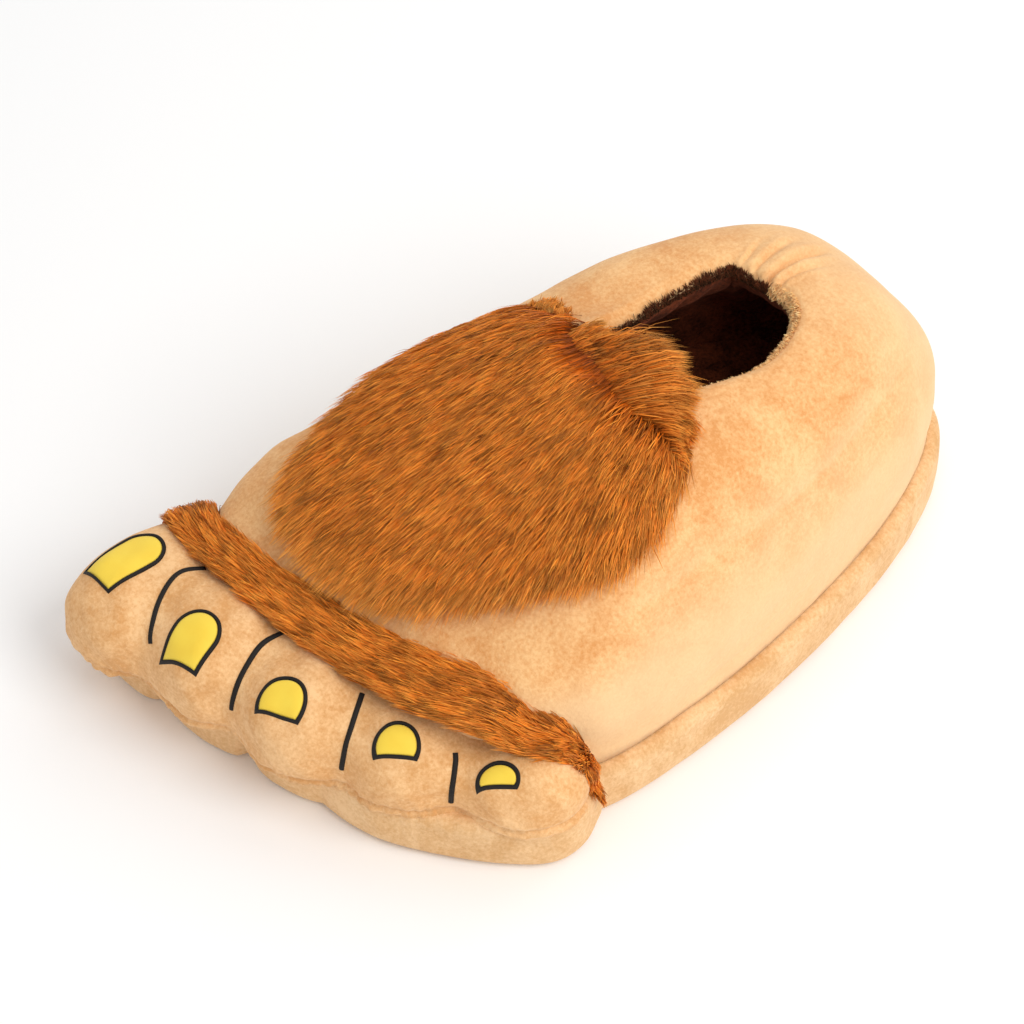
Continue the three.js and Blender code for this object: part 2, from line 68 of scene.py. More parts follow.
def aimed(name, data, azimuth, height):
    """A lens or a lamp turned to the slipper, and the way to it. Azimuth 0 is in front of the toes."""
    level = math.cos(height)
    away = Vector((math.sin(azimuth) * level, -math.cos(azimuth) * level, math.sin(height)))
    made = bpy.data.objects.new(name, data)
    made.rotation_euler = (-away).to_track_quat("-Z", "Y").to_euler()
    bpy.context.scene.collection.objects.link(made)
    return made, away


lens = bpy.data.cameras.new("lens")
lens.lens = LENS_FOCAL
lens.sensor_width = SENSOR
lens.clip_end = 20.0
camera, away = aimed("lens", lens, LENS_AZIMUTH, LENS_HEIGHT)
camera.location = Vector(LENS_AIM) * MM + away * LENS_DISTANCE * MM
bpy.context.scene.camera = camera


def soft_light(name, azimuth, height, distance, size, watts, tint):
    """A square lamp. Its angles are in degrees, its distance and size in metres."""
    lamp = bpy.data.lights.new(name, "AREA")
    lamp.size = size
    lamp.energy = watts
    lamp.color = tint
    stand, away = aimed(name, lamp, math.radians(azimuth), math.radians(height))
    stand.location = away * distance


soft_light("soft_box", 100, 50, 1.6, 1.0, 14.0, (1.0, 0.98, 0.95))
soft_light("back_fill", 200, 50, 1.7, 1.4, 5.0, (1.0, 0.98, 0.96))
room = bpy.data.worlds.new("white_room")
room.use_nodes = True
room.node_tree.nodes["Background"].inputs["Color"].default_value = (1.0, 0.99, 0.98, 1.0)
room.node_tree.nodes["Background"].inputs["Strength"].default_value = 0.66
bpy.context.scene.world = room
bpy.context.scene.view_settings.view_transform = "Standard"


def finish(name, roughness, **values):
    """A named finish and its shader. A value is named for its socket, with _ for a space."""
    made = bpy.data.materials.new(name)
    made.use_nodes = True
    shader = made.node_tree.nodes["Principled BSDF"]
    for socket, value in {"Roughness": roughness, "Specular_IOR_Level": 0.25, **values}.items():
        shader.inputs[socket.replace("_", " ")].default_value = value
    return made, shader


def brushed_on(made, kind, values=(), inputs=(), **modes):
    """One more node of a finish, with values for its sockets, and the outputs that lead into them."""
    node = made.node_tree.nodes.new("ShaderNode" + kind)
    for mode, choice in modes.items():
        setattr(node, mode, choice)
    for socket, value in dict(values).items():
        node.inputs[socket].default_value = value
    for socket, output in dict(inputs).items():
        made.node_tree.links.new(output, node.inputs[socket])
    return node


def cloth_noise(made, size, **values):
    """A noise fixed to the cloth, with patches of a size in millimetres."""
    place = brushed_on(made, "TexCoord")
    values = {"Scale": 1 / (size * MM), **values}
    return brushed_on(made, "TexNoise", values, {"Vector": place.outputs["Object"]}).outputs["Fac"]


def two_shades(made, height, low, high, deep, light):
    """From a deep colour where the noise is low to a light one where it is high."""
    ramp = brushed_on(made, "ValToRGB", inputs={"Fac": height})
    for stop, position, shade in zip(ramp.color_ramp.elements, (low, high), (deep, light)):
        stop.position = position
        stop.color = (*shade, 1.0)
    return ramp.outputs["Color"]


def raised(made, height, strength, distance, under=None):
    """A bump on the finish, over another if there is one."""
    inputs = {"Height": height} | ({} if under is None else {"Normal": under})
    values = {"Strength": strength, "Distance": distance * MM}
    return brushed_on(made, "Bump", values, inputs).outputs["Normal"]


def wear(made, shader, colour, normal):
    """Leads a colour and a bump into the finish's shader, where there are any."""
    for socket, output in (("Base Color", colour), ("Normal", normal)):
        if output is not None:
            made.node_tree.links.new(output, shader.inputs[socket])


def make_piece(name, points, faces, *finishes, which=None):
    """A smooth mesh in the slipper's frame, from points in millimetres and faces of 3 or 4 corners."""
    faces = np.asarray(faces, np.int32)
    sides = faces.shape[1]
    data = bpy.data.meshes.new(name)
    data.vertices.add(len(points))
    data.vertices.foreach_set("co", (np.asarray(points, float) * MM).ravel())
    data.loops.add(faces.size)
    data.loops.foreach_set("vertex_index", faces.ravel())
    data.polygons.add(len(faces))
    data.polygons.foreach_set("loop_start", np.arange(0, faces.size, sides, dtype=np.int32))
    data.update(calc_edges=True)
    for made in finishes:
        data.materials.append(made)
    if which is not None:
        data.polygons.foreach_set("material_index", np.asarray(which, np.int32))
    data.shade_smooth()
    piece = bpy.data.objects.new(name, data)
    bpy.context.scene.collection.objects.link(piece)
    return piece


sweep_finish, shader = finish("white_sweep", 0.9, Base_Color=(0.95, 0.96, 0.97, 1.0))
grain = brushed_on(sweep_finish, "TexNoise", {"Scale": 900.0}).outputs["Fac"]
rough = brushed_on(sweep_finish, "Bump", {"Strength": 0.02}, {"Height": grain})
wear(sweep_finish, shader, None, rough.outputs["Normal"])
half = SWEEP_SIZE / 2 / MM
sweep_corners = [(-half, -half, 0), (half, -half, 0), (half, half, 0), (-half, half, 0)]
sweep = make_piece("white_sweep", sweep_corners, [(0, 1, 2, 3)], sweep_finish)
sweep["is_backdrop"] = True

# The upper is one shell of peach plush over stuffing, closed at the heel and toe ends, with a rolled
# collar round the foot's opening. Inside it is lined with dark brown pile. It is sewn to the sole
# all round, and the stuffing bellies out over that seam.
LENGTH = 326.0
WIDTH = 172.0
COLLAR_HEIGHT = 118.0
COLLAR_LENGTH = 88.0
COLLAR_WIDTH = 62.0
COLLAR_ROLL = 6.0
COLLAR_MIDDLE = 0.221
ROLL_SPAN = 0.2
SOLE_TOP = 23.3
SOLE_LIP = 5.0
WALL = 14.0
UPPER_BULGE = 3.0
LINING_EASE = 2.2
SECTION_COLUMNS = ("edge_x", "edge_y", "roll_x", "roll_y", "rise", "full", "shoulder")
SECTIONS = np.array([
    (0.0, -0.301, -0.03, -0.48, 0.98, 3.6, 0.48),
    (0.262, -0.261, 0.226, -0.47, 0.97, 3.5, 0.57),
    (0.453, -0.14, 0.41, -0.365, 0.945, 3.0, 0.83),
    (0.472, 0.018, 0.49, -0.148, 0.916, 2.5, 1.0),
    (0.432, 0.19, 0.5, 0.102, 0.88, 2.4, 1.0),
    (0.343, 0.366, 0.355, 0.364, 0.86, 2.4, 1.0),
    (0.203, 0.49, 0.145, 0.489, 0.842, 2.4, 1.0),
    (0.0, 0.517, -0.08, 0.49, 0.832, 2.4, 1.0),
    (-0.2, 0.487, -0.29, 0.46, 0.832, 2.4, 1.0),
    (-0.355, 0.372, -0.42, 0.4, 0.832, 2.4, 1.0),
    (-0.455, 0.193, -0.47, 0.148, 0.832, 2.35, 1.0),
    (-0.485, 0.0, -0.445, -0.136, 0.85, 2.3, 0.92),
    (-0.498, -0.227, -0.4, -0.365, 0.9, 2.9, 0.56),
    (-0.355, -0.326, -0.25, -0.47, 0.955, 3.5, 0.41),
])
UP = np.array([0.0, 0.0, 1.0])


def unit(vectors):
    return vectors / np.maximum(np.linalg.norm(vectors, axis=-1, keepdims=True), 1e-9)


def smooth_step(low, high, value):
    share = np.clip((value - low) / (high - low), 0, 1)
    return share * share * (3 - 2 * share)


def bend_between(a, b, c, d, share):
    """A smooth bend from b to c that heads on past a and d."""
    return b + 0.5 * share * (c - a + share * (2 * a - 5 * b + 4 * c - d + share * (3 * (b - c) + d - a)))


def section(turn):
    """The upper's cross-section at a place round the foot, from 0 at the middle of the toe end."""
    place = (turn % 1.0) * len(SECTIONS)
    first = np.floor(place).astype(int)
    rows = (SECTIONS[(first + k) % len(SECTIONS)] for k in (-1, 0, 1, 2))
    row = bend_between(*rows, (place - first)[..., None])
    return {column: row[..., k] for k, column in enumerate(SECTION_COLUMNS)}


def flat(x, y):
    return np.stack([x, y, np.zeros_like(x)], -1)


def edge_at(turn):
    row = section(turn)
    return flat(row["edge_x"] * WIDTH, row["edge_y"] * LENGTH)


def roll_at(turn):
    row = section(turn)
    return flat(row["roll_x"] * COLLAR_WIDTH, (COLLAR_MIDDLE + 0 * turn) * LENGTH + row["roll_y"] * COLLAR_LENGTH)


def outwards(curve, turn):
    along = curve(turn + 0.002) - curve(turn - 0.002)
    return unit(np.stack([along[..., 1], -along[..., 0], np.zeros_like(turn)], -1))


def upper_face(turn, height):
    """The outside of the upper. Height is 0 at the sole and 1 at the top of the collar."""
    row = section(turn)
    angle = np.clip(height, 0, 1) * math.pi / 2
    power = 2 / row["full"]
    inward = (1 - np.maximum(0, np.cos(angle)) ** power)[..., None]
    upward = np.sin(angle) ** power
    share = row["shoulder"] * upward + (1 - row["shoulder"]) * inward[..., 0]
    belly = UPPER_BULGE * np.sin(math.pi * np.clip(2.2 * height, 0, 1))
    point = edge_at(turn) * (1 - inward) + roll_at(turn) * inward
    point = point + outwards(edge_at, turn) * belly[..., None]
    point[..., 2] = SOLE_TOP + share * row["rise"] * (COLLAR_HEIGHT - SOLE_TOP)
    return point


def collar_face(turn, share):
    """The collar's roll, from its top over to where the lining starts."""
    angle = (share * math.pi / 2)[..., None]
    top = upper_face(turn, np.ones_like(turn))
    return top - outwards(roll_at, turn) * COLLAR_ROLL * np.sin(angle) + UP * COLLAR_ROLL * (np.cos(angle) - 1)


def whole_face(turn, height):
    """The outside of the upper and on over the collar's roll, from height 1 to 1.2."""
    over = np.clip((height - 1) / ROLL_SPAN, 0, 1.4)
    return np.where((height <= 1)[..., None], upper_face(turn, height), collar_face(turn, over))


def lining_face(turn, height):
    """The lining, from 0 at the sole to 1 at the collar."""
    foot = edge_at(turn) - outwards(edge_at, turn) * WALL
    rim = collar_face(turn, np.ones_like(turn))
    lean = (smooth_step(0, 1, height) ** LINING_EASE)[..., None]
    point = foot * (1 - lean) + rim * lean
    point[..., 2] = SOLE_TOP + height * (rim[..., 2] - SOLE_TOP)
    return point


def grid_faces(rows, columns):
    """Quads over a grid of points, row by row. The last column joins the first."""
    low = np.arange(rows - 1)[:, None] * columns
    here = np.arange(columns)[None, :]
    after = (here + 1) % columns
    quads = np.stack([low + here, low + after, low + columns + after, low + columns + here], -1)
    return quads.reshape(-1, 4)


def ring_of_faces(rows, columns):
    """The same with the last row joined to the first, which closes the grid to a ring."""
    return grid_faces(rows + 1, columns) % (rows * columns)


def grid_normals(points):
    """Outward normals of a grid of points with rows going up and columns going round."""
    around = np.roll(points, -1, 1) - np.roll(points, 1, 1)
    return unit(np.cross(around, np.gradient(points, axis=0)))


def hump(apart, wide):
    """A smooth hump over distances from its middle, down to almost nothing at twice its width."""
    return np.exp(-((apart / wide) ** 2))


def soft_noise(points, size, seed):
    """Smooth random swell of about one unit over points, with bumps of that size in millimetres."""
    rng = np.random.default_rng(seed)
    total = 0
    for _ in range(7):
        way = unit(rng.normal(size=3)) * rng.uniform(0.7, 1.4) * 2 * math.pi / size
        total = total + np.sin(points @ way + rng.uniform(0, 2 * math.pi))
    return total / 2.6


ROUND = 300
OUTSIDE_ROWS = 84
ROLL_ROWS = 14
DARK_ROWS = 3
LINING_ROWS = 46
# Millimetres to a whole turn at the heel, and to the whole height low down on the side.
COLLAR_ROUND = 430
SIDE_RISE = 60
SEAM_GATHERS = 96
LINING_FOLDS = 23
# Creases pressed into the stuffing: where round the foot, from and to which height, depth and width in
# millimetres, and how far the crease drifts round the foot on its way up. Height runs on to 1.2 over the roll.
COLLAR_CREASES = [
    (0.545, 0.78, 1.12, 1.6, 2.4, 0.004),
    (0.515, 0.70, 1.15, 2.6, 2.6, -0.006),
    (0.485, 0.82, 1.10, 1.3, 2.2, 0.0),
    (0.578, 0.86, 1.10, 0.9, 2.4, 0.004),
]
# Long folds where the side sags over the seam: the height at both ends, from and to which place round the foot,
# and the depth and width in millimetres.
SIDE_FOLDS = [
    ((0.03, 0.09), 0.20, 0.30, 0.9, 0.8),
    ((0.10, 0.06), 0.36, 0.44, 0.6, 1.0),
]

over_roll = 1 + ROLL_SPAN * np.arange(1, ROLL_ROWS + 1) / ROLL_ROWS
rises = np.concatenate([np.linspace(0, 1, OUTSIDE_ROWS), over_roll])
turns, rises = np.meshgrid(np.arange(ROUND) / ROUND, rises)
shell = whole_face(turns, rises)
shell_out = grid_normals(shell)
swell = 0.7 * soft_noise(shell, 60, 3) + 0.35 * soft_noise(shell, 24, 4)
for place, low, high, depth, wide, drift in COLLAR_CREASES:
    middle = place + drift * (rises - low) / (high - low)
    apart = (turns - middle) * COLLAR_ROUND
    along = smooth_step(low, low + 0.12, rises) * (1 - smooth_step(high - 0.06, high, rises))
    swell -= depth * along * hump(apart, wide)
    swell += 0.35 * depth * along * hump(np.abs(apart) - 2.2 * wide, 1.2 * wide)
gathers = np.sin(turns * 2 * math.pi * SEAM_GATHERS + 3 * soft_noise(shell, 50, 9))
gathers *= 1 + 0.6 * soft_noise(shell, 22, 8)
swell += 0.22 * gathers * np.exp(-rises / 0.05)
for place, low, high, depth, wide in SIDE_FOLDS:
    beyond = np.clip(np.minimum(turns - low, high - turns) / 0.02, 0, 1)
    middle = place[0] + (place[1] - place[0]) * (turns - low) / (high - low)
    apart = (rises - middle) * SIDE_RISE
    swell -= depth * beyond * hump(apart, wide)
    swell += 0.8 * depth * beyond * hump(apart - 2.4 * wide, 1.6 * wide)
swell *= smooth_step(0, 0.02, rises) * (1 - smooth_step(1.12, 1.2, rises))
shell = shell + shell_out * swell[..., None]

lining_rises = np.linspace(1, 0, LINING_ROWS + 1)[1:]
lining_turns, lining_rises = np.meshgrid(np.arange(ROUND) / ROUND, lining_rises)
inside = lining_face(lining_turns, lining_rises)
folds = np.sin(lining_turns * 2 * math.pi * LINING_FOLDS + 2.0 * soft_noise(inside, 70, 5))
folds *= 0.6 + 0.4 * soft_noise(inside, 45, 6)
inside = inside - grid_normals(inside) * (1.1 * folds * smooth_step(1.0, 0.85, lining_rises))[..., None]
grid = np.concatenate([shell, inside])
faces = ring_of_faces(len(grid), ROUND)
lined = np.arange(len(faces)) // ROUND >= OUTSIDE_ROWS + ROLL_ROWS - DARK_ROWS


def plush(name, deep, light, warm, patch_size=26.0, side=None):
    """Short sheared pile: brushed patches, a fine grain and a soft sheen. Its sides and heel may be painted paler, as
    painted light where they catch more of the lamps.
    """
    made, shader = finish(name, 0.92, Sheen_Weight=0.35, Sheen_Roughness=0.5, Sheen_Tint=(*warm, 1.0))
    patches = cloth_noise(made, patch_size, Detail=5.0, Roughness=0.62, Distortion=0.6)
    grain = cloth_noise(made, 1.5, Detail=3.0, Roughness=0.7)
    tufts = cloth_noise(made, 4.0, Detail=4.0)
    halved = brushed_on(made, "Math", {1: 0.55}, {0: patches}, operation="MULTIPLY")
    mixed = brushed_on(made, "Math", {1: 0.45}, {0: grain, 2: halved.outputs[0]}, operation="MULTIPLY_ADD")
    shade = two_shades(made, mixed.outputs[0], 0.40, 0.61, deep, light)
    if side is not None:
        # Painted light: faces that turn from up to sideways, and the heel end, are mixed towards the paler side colour,
        # for the light and sheen that fall there.
        place = brushed_on(made, "TexCoord")
        paled = []
        for output, axis, start, end, most in (("Normal", "Z", 0.72, 0.12, 0.72), ("Object", "Y", 0.09, 0.17, 0.75)):
            axes = brushed_on(made, "SeparateXYZ", inputs={"Vector": place.outputs[output]})
            paled.append(brushed_on(made, "MapRange", {"From Min": start, "From Max": end, "To Max": most},
                                    {"Value": axes.outputs[axis]}, interpolation_type="SMOOTHSTEP").outputs["Result"])
        side_light_share = brushed_on(made, "Math", inputs=dict(enumerate(paled)), operation="MAXIMUM")
        painted_side_light = brushed_on(made, "Mix", data_type="RGBA", values={"B": (*side, 1.0)},
                           inputs={"Factor": side_light_share.outputs[0], "A": shade})
        shade = painted_side_light.outputs["Result"]
    wear(made, shader, shade, raised(made, tufts, 0.5, 0.8, raised(made, grain, 0.55, 0.5)))
    return made


# The peach plush's side colour is painted light, which makes its sides and heel paler.
peach = plush("peach_plush", (0.71, 0.315, 0.10), (0.90, 0.54, 0.245), (1.0, 0.80, 0.55), side=(0.90, 0.62, 0.34))
brown_pile = plush("brown_lining", (0.045, 0.010, 0.004), (0.27, 0.06, 0.02), (0.4, 0.12, 0.06), 14.0)
upper = make_piece("padded_upper", grid.reshape(-1, 3), faces, peach, brown_pile, which=lined)
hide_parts("upper")
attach(upper, "root")

# The insole is a soft foam sheet covered in the same dark brown pile, laid loose inside the foot's room. Its edge
# is rounded over, and the heel and the ball of the foot have pressed it a little.
INSOLE_INSET = 14.3
INSOLE_LOW = 23.6
INSOLE_THICKNESS = 5.7
INSOLE_EDGE = 2.6
INSOLE_SIDES = 180
insole_turns = np.arange(INSOLE_SIDES) / INSOLE_SIDES
insole_rim = edge_at(insole_turns) - outwards(edge_at, insole_turns) * INSOLE_INSET
insole_heart = np.array([0.0, 8.0, 0.0])
insole_rings = []
for share, level in ([(s, 0.0) for s in (0.1, 0.35, 0.6, 0.8, 0.93)]
                     + [(1.0, 0.5 - 0.5 * math.cos(a)) for a in np.linspace(0, math.pi, 9)]
                     + [(s, 1.0) for s in (0.96, 0.9, 0.8, 0.65, 0.5, 0.35, 0.2, 0.08)]):
    tucked = INSOLE_EDGE * (1 - math.sqrt(max(0.0, 1 - (2 * level - 1) ** 2))) if share == 1.0 else 0.0
    ring = insole_heart + (insole_rim - insole_heart) * share - outwards(edge_at, insole_turns) * tucked
    ring[:, 2] = INSOLE_LOW + INSOLE_THICKNESS * level
    worn = hump(ring[:, 0], 30) * (hump(ring[:, 1] - 120, 30) + hump(ring[:, 1] + 50, 32))
    ring[:, 2] -= level * (1.6 * worn + 0.25 + 0.25 * soft_noise(ring, 30, 15))
    insole_rings.append(ring)
insole_rings = np.array(insole_rings)


def closed_skin(rings, first_tip=None, last_tip=None):
    """One closed body from rings of points, with a tip at each end. A tip not given is its ring's middle."""
    first_tip = rings[0].mean(0) if first_tip is None else first_tip
    last_tip = rings[-1].mean(0) if last_tip is None else last_tip
    count, sides = rings.shape[:2]
    quads = grid_faces(count, sides)
    here = np.arange(sides)
    after = (here + 1) % sides
    end = (count - 1) * sides
    first = count * sides
    faces = np.concatenate([
        quads[:, [0, 1, 2]], quads[:, [0, 2, 3]],
        np.stack([first + 0 * here, after, here], -1), np.stack([first + 1 + 0 * here, end + here, end + after], -1)])
    return np.concatenate([rings.reshape(-1, 3), [first_tip], [last_tip]]), faces


insole = make_piece("soft_insole", *closed_skin(insole_rings), brown_pile)
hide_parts("insole")
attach(insole, "root")

# The toes are five stuffed plush tubes, pressed together side by side and sewn to the front of the upper.
# The stuffing fills the valleys between them, so they read as one soft form with rounded ends.
TOE_WIDTH = 43.0
TOE_REACH = 57.0
TOE_HEIGHT = 44.0
TOE_ROUNDNESS = 2.4
TOE_MELT = 13.0
# The toes' stuffing ends inside the sole, this high above the ground.
TOES_END = 12.5
# The size of the toes' even mesh, and the rows and sides of the round forms that it is made from.
TOE_GRAIN = 1.25
BALL_ROWS, BALL_SIDES = 40, 64
SOLE_THICKNESS = 23.0
TOE_COLUMNS = ("x", "y", "lift", "wide", "long", "crown", "belly", "under", "turn")
TOES = [dict(zip(TOE_COLUMNS, row)) for row in (
    (-0.42, -0.368, 0.18, 1.1, 1.23, 0.49, 0.41, 0.57, 0),
    (-0.209, -0.356, 0.16, 1.1, 0.95, 0.6, 0.455, 0.67, 7),
    (0.017, -0.319, 0.16, 1.15, 1.0, 0.58, 0.41, 0.68, 20),
    (0.215, -0.267, 0.125, 1.1, 0.91, 0.56, 0.385, 0.92, 36),
    (0.408, -0.193, 0.07, 1.08, 0.81, 0.545, 0.34, 0.92, 50),
)]


def on_toe(toe, across, along):
    """A place on a toe in plan: across to its right and along towards its tip."""
    turn = math.radians(toe["turn"])
    x = toe["x"] * WIDTH + across * math.cos(turn) + along * math.sin(turn)
    y = toe["y"] * LENGTH + across * math.sin(turn) - along * math.cos(turn)
    return flat(x, y)


def toe_depth(points, toe):
    """How far points are outside one toe, in millimetres, and below 0 inside it."""
    turn = math.radians(toe["turn"])
    dx = points[..., 0] - toe["x"] * WIDTH
    dy = points[..., 1] - toe["y"] * LENGTH
    dz = points[..., 2] - SOLE_THICKNESS - toe["lift"] * TOE_HEIGHT
    across = dx * math.cos(turn) + dy * math.sin(turn)
    along = dx * math.sin(turn) - dy * math.cos(turn)
    tall = np.where(dz > 0, toe["crown"], toe["belly"]) * TOE_HEIGHT
    wide = toe["wide"] * TOE_WIDTH / 2
    long = toe["long"] * TOE_REACH / 2
    shares = np.abs(np.stack([across / wide, along / long, dz / tall], -1))
    size = np.maximum((shares ** TOE_ROUNDNESS).sum(-1) ** (1 / TOE_ROUNDNESS), 1e-6)
    return np.sqrt(dx * dx + dy * dy + dz * dz) * (1 - 1 / size)


def melted(one, other, melt):
    """The lower of two measures, or the higher if melt is below 0, with a soft change from one to the other."""
    near = np.clip(0.5 + 0.5 * (other - one) / melt, 0, 1)
    return other * (1 - near) + one * near - melt * near * (1 - near)


def toes_depth(points):
    """The same for all the toes, with the valleys between them filled."""
    total = toe_depth(points, TOES[0])
    for toe in TOES[1:]:
        total = melted(total, toe_depth(points, toe), TOE_MELT)
    return total


def slope_of(depth, points, step=0.4):
    """The outward direction at points on a form given by its depth."""
    return unit(np.stack([
        depth(points + step * np.eye(3)[k]) - depth(points - step * np.eye(3)[k]) for k in range(3)
    ], -1))


def bent(value):
    """The sine or cosine of a round form, changed to the toes' fuller roundness."""
    return np.sign(value) * np.abs(value) ** (2 / TOE_ROUNDNESS)


def balls_of_toes():
    """Five rounded forms as one closed mesh, to be drawn in to the melted form."""
    latitude, longitude = np.meshgrid(
        np.linspace(-0.5, 0.5, BALL_ROWS)[1:-1] * math.pi, np.arange(BALL_SIDES) / BALL_SIDES * 2 * math.pi,
        indexing="ij")
    points, faces = [], []
    for toe in TOES:
        wide = toe["wide"] * TOE_WIDTH / 2
        long = toe["long"] * TOE_REACH / 2
        ball = on_toe(toe, wide * bent(np.cos(latitude)) * bent(np.cos(longitude)),
                      long * bent(np.cos(latitude)) * bent(np.sin(longitude)))
        tall = np.where(latitude > 0, toe["crown"], toe["belly"]) * TOE_HEIGHT
        middle = SOLE_THICKNESS + toe["lift"] * TOE_HEIGHT
        ball[..., 2] = middle + tall * bent(np.sin(latitude))
        ends = on_toe(toe, np.zeros(2), np.zeros(2))
        ends[:, 2] = middle + np.array([-toe["belly"], toe["crown"]]) * TOE_HEIGHT
        skin, corners = closed_skin(ball, *ends)
        faces.append(corners + sum(map(len, points)))
        points.append(skin)
    return np.concatenate(points), np.concatenate(faces)


def remeshed(points, faces, voxel):
    """One even closed mesh round overlapping closed forms."""
    lump = make_piece("lump", points, faces)
    even = lump.modifiers.new("even", "REMESH")
    even.mode = "VOXEL"
    even.voxel_size = voxel * MM
    result = bpy.data.meshes.new_from_object(lump.evaluated_get(bpy.context.evaluated_depsgraph_get()))
    co = np.zeros(len(result.vertices) * 3)
    result.vertices.foreach_get("co", co)
    corners = np.zeros(len(result.polygons) * 4, np.int32)
    result.polygons.foreach_get("vertices", corners)
    spent = (lump.data, result)
    bpy.data.objects.remove(lump)
    for data in spent:
        bpy.data.meshes.remove(data)
    return co.reshape(-1, 3) / MM, corners.reshape(-1, 4)


toe_points, toe_faces = remeshed(*balls_of_toes(), TOE_GRAIN)
for _ in range(6):
    toe_points -= slope_of(toes_depth, toe_points) * np.clip(toes_depth(toe_points), -3, 3)[:, None]
toe_out = slope_of(toes_depth, toe_points)
toe_swell = 0.5 * soft_noise(toe_points, 28, 11) + 0.25 * soft_noise(toe_points, 13, 12)
low = np.clip((toe_points[:, 2] - SOLE_TOP) / 12.0, 0, 1)
puckers = np.sin(1.15 * (toe_points[:, 0] + 0.5 * toe_points[:, 1]) + 2.2 * soft_noise(toe_points, 16, 13))
toe_swell += 0.32 * puckers * (1 - low) ** 1.5 * (0.8 + 0.5 * soft_noise(toe_points, 25, 14))
seam_level = SOLE_TOP + 1.6 + 0.7 * soft_noise(toe_points, 24, 16)
toe_swell -= 1.9 * hump(toe_points[:, 2] - seam_level, 1.3)
toe_swell += 0.7 * hump(toe_points[:, 2] - seam_level + 2.6, 1.2)
toe_points = toe_points + toe_out * toe_swell[:, None]
toe_points[:, 2] = np.maximum(toe_points[:, 2], TOES_END)
toe_plush = plush("toe_plush", (0.70, 0.35, 0.125), (0.92, 0.57, 0.28), (1.0, 0.82, 0.6), 18.0)
toes = make_piece("stuffed_toes", toe_points, toe_faces, toe_plush)
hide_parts("toes")
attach(toes, "root")

# The sole is a thick foam slab in a plush cover. Its front edge follows each toe in a scallop, and its
# cover is gathered where it is sewn to the upper and to the toes' undersides.
SOLE_ROUNDING = 4.5
SOLE_LID = SOLE_THICKNESS - 0.3
SOLE_SIDES = 640
SOLE_HUB = np.array([0.0, -30.0, 0.0])
SCALLOP_MELT = 18.0
SCALLOP_SIDES = 90
FOOT_SIDES = 400


def reach_of(outline, way):
    """How far an outline's edge lies from the hub in each direction."""
    start = outline - SOLE_HUB
    step = np.roll(start, -1, 0) - start
    x, y = way[:, :1], way[:, 1:]
    across = x * step[:, 1] - y * step[:, 0]
    across = np.where(np.abs(across) < 1e-9, 1e-9, across)
    distance = (start[:, 0] * step[:, 1] - start[:, 1] * step[:, 0]) / across
    share = (start[:, 0] * y - start[:, 1] * x) / across
    return np.where((share >= 0) & (share < 1) & (distance > 0), distance, 0).max(1)


def scallop(toe):
    turn = np.arange(SCALLOP_SIDES) / SCALLOP_SIDES * 2 * math.pi
    across = toe["wide"] * TOE_WIDTH / 2 * bent(np.cos(turn))
    return on_toe(toe, across, toe["under"] * toe["long"] * TOE_REACH / 2 * bent(np.sin(turn)))


angles = np.arange(SOLE_SIDES) / SOLE_SIDES * 2 * math.pi
ways = np.stack([np.cos(angles), np.sin(angles)], -1)
foot_turns = np.arange(FOOT_SIDES) / FOOT_SIDES
outline = edge_at(foot_turns) + outwards(edge_at, foot_turns) * SOLE_LIP
reach = reach_of(outline, ways)
for toe in TOES:
    reach = melted(reach, reach_of(scallop(toe), ways), -SCALLOP_MELT)
# The cover is pulled straight across the notch between the two smallest toes.
small_toes = (ways[:, 0] > 0.25) & (ways[:, 1] < -0.35)
for _ in range(700):
    reach = np.where(small_toes, np.maximum(reach, (np.roll(reach, 1) + np.roll(reach, -1)) / 2), reach)
rim = SOLE_HUB + flat(ways[:, 0] * reach, ways[:, 1] * reach)
rim_out = np.roll(rim, -1, 0) - np.roll(rim, 1, 0)
rim_out = unit(np.stack([rim_out[:, 1], -rim_out[:, 0], np.zeros(SOLE_SIDES)], -1))
tiers = []
for inset, height in (
    [(60.0, 0.0), (30.0, 0.0), (12.0, 0.0)]
    + [(SOLE_ROUNDING * (1 - math.cos(a)), SOLE_ROUNDING * (1 - math.sin(a))) for a in np.linspace(math.pi / 2, 0, 7)]
    + [(0.0, h) for h in np.linspace(SOLE_ROUNDING, SOLE_THICKNESS - SOLE_ROUNDING, 12)[1:-1]]
    + [(SOLE_ROUNDING * (1 - math.cos(a)), SOLE_THICKNESS - SOLE_ROUNDING * (1 - math.sin(a)))
       for a in np.linspace(0, math.pi / 2, 9)]
    + [(6.5, SOLE_THICKNESS - 0.1), (12.0, SOLE_LID), (30.0, SOLE_LID), (60.0, SOLE_LID)]
):
    tier = rim - rim_out * min(inset, 12.0)
    if inset > 12.0:
        tier = tier + (SOLE_HUB - tier) * (inset / 75.0)
    tier[:, 2] = height
    tiers.append(tier)
sole_grid = np.array(tiers)
side = hump(sole_grid[..., 2] - SOLE_THICKNESS / 2, 8.0)
sole_swell = side * (0.8 + 0.5 * soft_noise(sole_grid, 45, 21) + 0.3 * soft_noise(sole_grid, 16, 22))
pleats = np.sin(0.8 * (sole_grid[..., 0] + 0.6 * sole_grid[..., 1]) + 1.5 * soft_noise(sole_grid, 20, 23))
toe_end = 1 - smooth_step(-95, -60, sole_grid[..., 1])
under_seam = np.exp(-((SOLE_THICKNESS - sole_grid[..., 2]) / 4.0))
sole_swell += 0.6 * pleats * toe_end * under_seam * smooth_step(1, 4, sole_grid[..., 2])
edge_only = np.exp(-np.abs(np.linalg.norm(sole_grid - rim[None] * [1, 1, 0], axis=-1) / 30.0))
